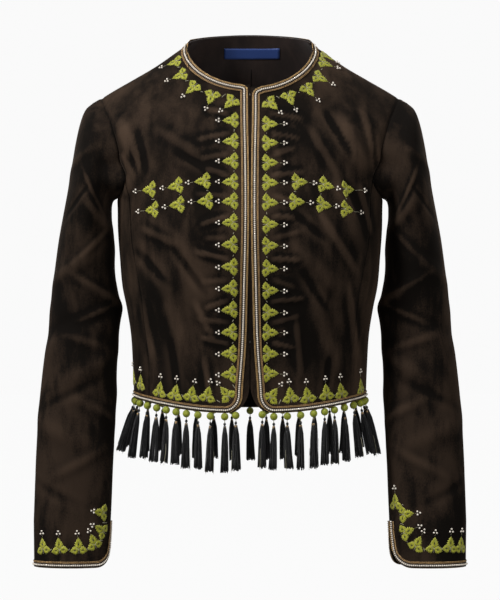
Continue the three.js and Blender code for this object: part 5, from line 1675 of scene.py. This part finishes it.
def makeTassels():
    kinds = makeTasselKinds()
    chance = random.Random(5)
    places = tasselPlaces()
    for number, (at, normal) in enumerate(places):
        kind = kinds[number % len(kinds)]
        outward = math.atan2(normal[1], normal[0])
        lean = tassel["splay"] * abs(math.cos(outward)) ** 3 + chance.uniform(-1.5, 1.5)
        axis = Vector((-math.sin(outward), math.cos(outward), 0))
        own = Matrix.Rotation(number * tassel["turnStep"], 3, "Z")
        turned = Matrix.Rotation(math.radians(-lean), 3, axis) @ own
        long = (tassel["backLong"] if at[1] > 0 else 1) + chance.uniform(-1, 1) * tassel["longSpread"]
        points = np.concatenate(kind.points)
        points[:, 2] *= np.where(points[:, 2] < tassel["rootZ"], long, 1)
        points = points @ np.array(turned).T + at
        name = f"tassel_{number + 1:02d}"
        piece = makePiece(f"{name}_thread", points, kind.faces,
                          [looks[look] for look in ("ball", "tassel", "wrap", "link")],
                          np.concatenate(kind.uv), kind.slots)
        ridesOnBody(piece, "tassel", name)
    print(f"stage: {len(places)} tassels hang from the hem")


makeTassels()

# The stage: a plain pale floor, soft lights and the camera

stage = {"floorZ": -0.8, "half": 9.0, "bright": 0.955, "floorLight": 0.2, "worldLight": 0.32}


# Bright to the camera, and dimmer as a light on the jacket
def seenBright(tree, bright, light):
    seen = addNode(tree, "ShaderNodeLightPath").outputs["Is Camera Ray"]
    return math1(tree, "ADD", math1(tree, "MULTIPLY", seen, bright - light), light)


def makeStage():
    bpy.ops.mesh.primitive_plane_add(size=2 * stage["half"], location=(0, 0, stage["floorZ"]))
    floor = bpy.context.active_object
    floor.name = "floor"
    material, tree, shader = newMaterial("paleFloor", {
        "Base Color": (0.01, 0.01, 0.01, 1), "Roughness": 1.0, "Specular IOR Level": 0.0,
        "Emission Color": (1, 1, 1, 1)})
    tree.links.new(seenBright(tree, stage["bright"], stage["floorLight"]), shader.inputs["Emission Strength"])
    floor.data.materials.append(material)


def addLight(name, place, target, size, watts):
    data = bpy.data.lights.new(name, "AREA")
    data.shape = "DISK"
    data.size = size
    data.energy = watts
    light = bpy.data.objects.new(name, data)
    light.location = place
    light.rotation_euler = (Vector(target) - Vector(place)).to_track_quat("-Z", "Y").to_euler()
    bpy.context.scene.collection.objects.link(light)


def makeLights():
    world = bpy.data.worlds.new("paleRoom")
    world.use_nodes = True
    background = world.node_tree.nodes["Background"]
    background.inputs[0].default_value = (1, 1, 1, 1)
    strength = seenBright(world.node_tree, stage["bright"], stage["worldLight"])
    world.node_tree.links.new(strength, background.inputs[1])
    bpy.context.scene.world = world
    target = (0, 0, -0.3)
    addLight("key", (-2.4, -1.7, 1.7), target, 0.8, 105)
    addLight("fill", (2.2, -2.8, 0.2), target, 1.6, 34)
    addLight("top", (0, -0.4, 2.6), target, 1.2, 22)


def makeCamera():
    data = bpy.data.cameras.new("photoView")
    data.sensor_fit = "VERTICAL"
    data.sensor_height = 36
    data.lens = data.sensor_height * view["distance"] / (view["pictureHigh"] * view["pixel"])
    camera = bpy.data.objects.new("photoView", data)
    camera.location = (0, -view["distance"] * mm, view["z"] * mm)
    camera.rotation_euler = (math.pi / 2, 0, 0)
    bpy.context.scene.collection.objects.link(camera)
    bpy.context.scene.camera = camera


makeStage()
makeLights()
makeCamera()
bpy.context.scene.view_settings.view_transform = "Standard"
print("stage: floor, lights and camera are set")
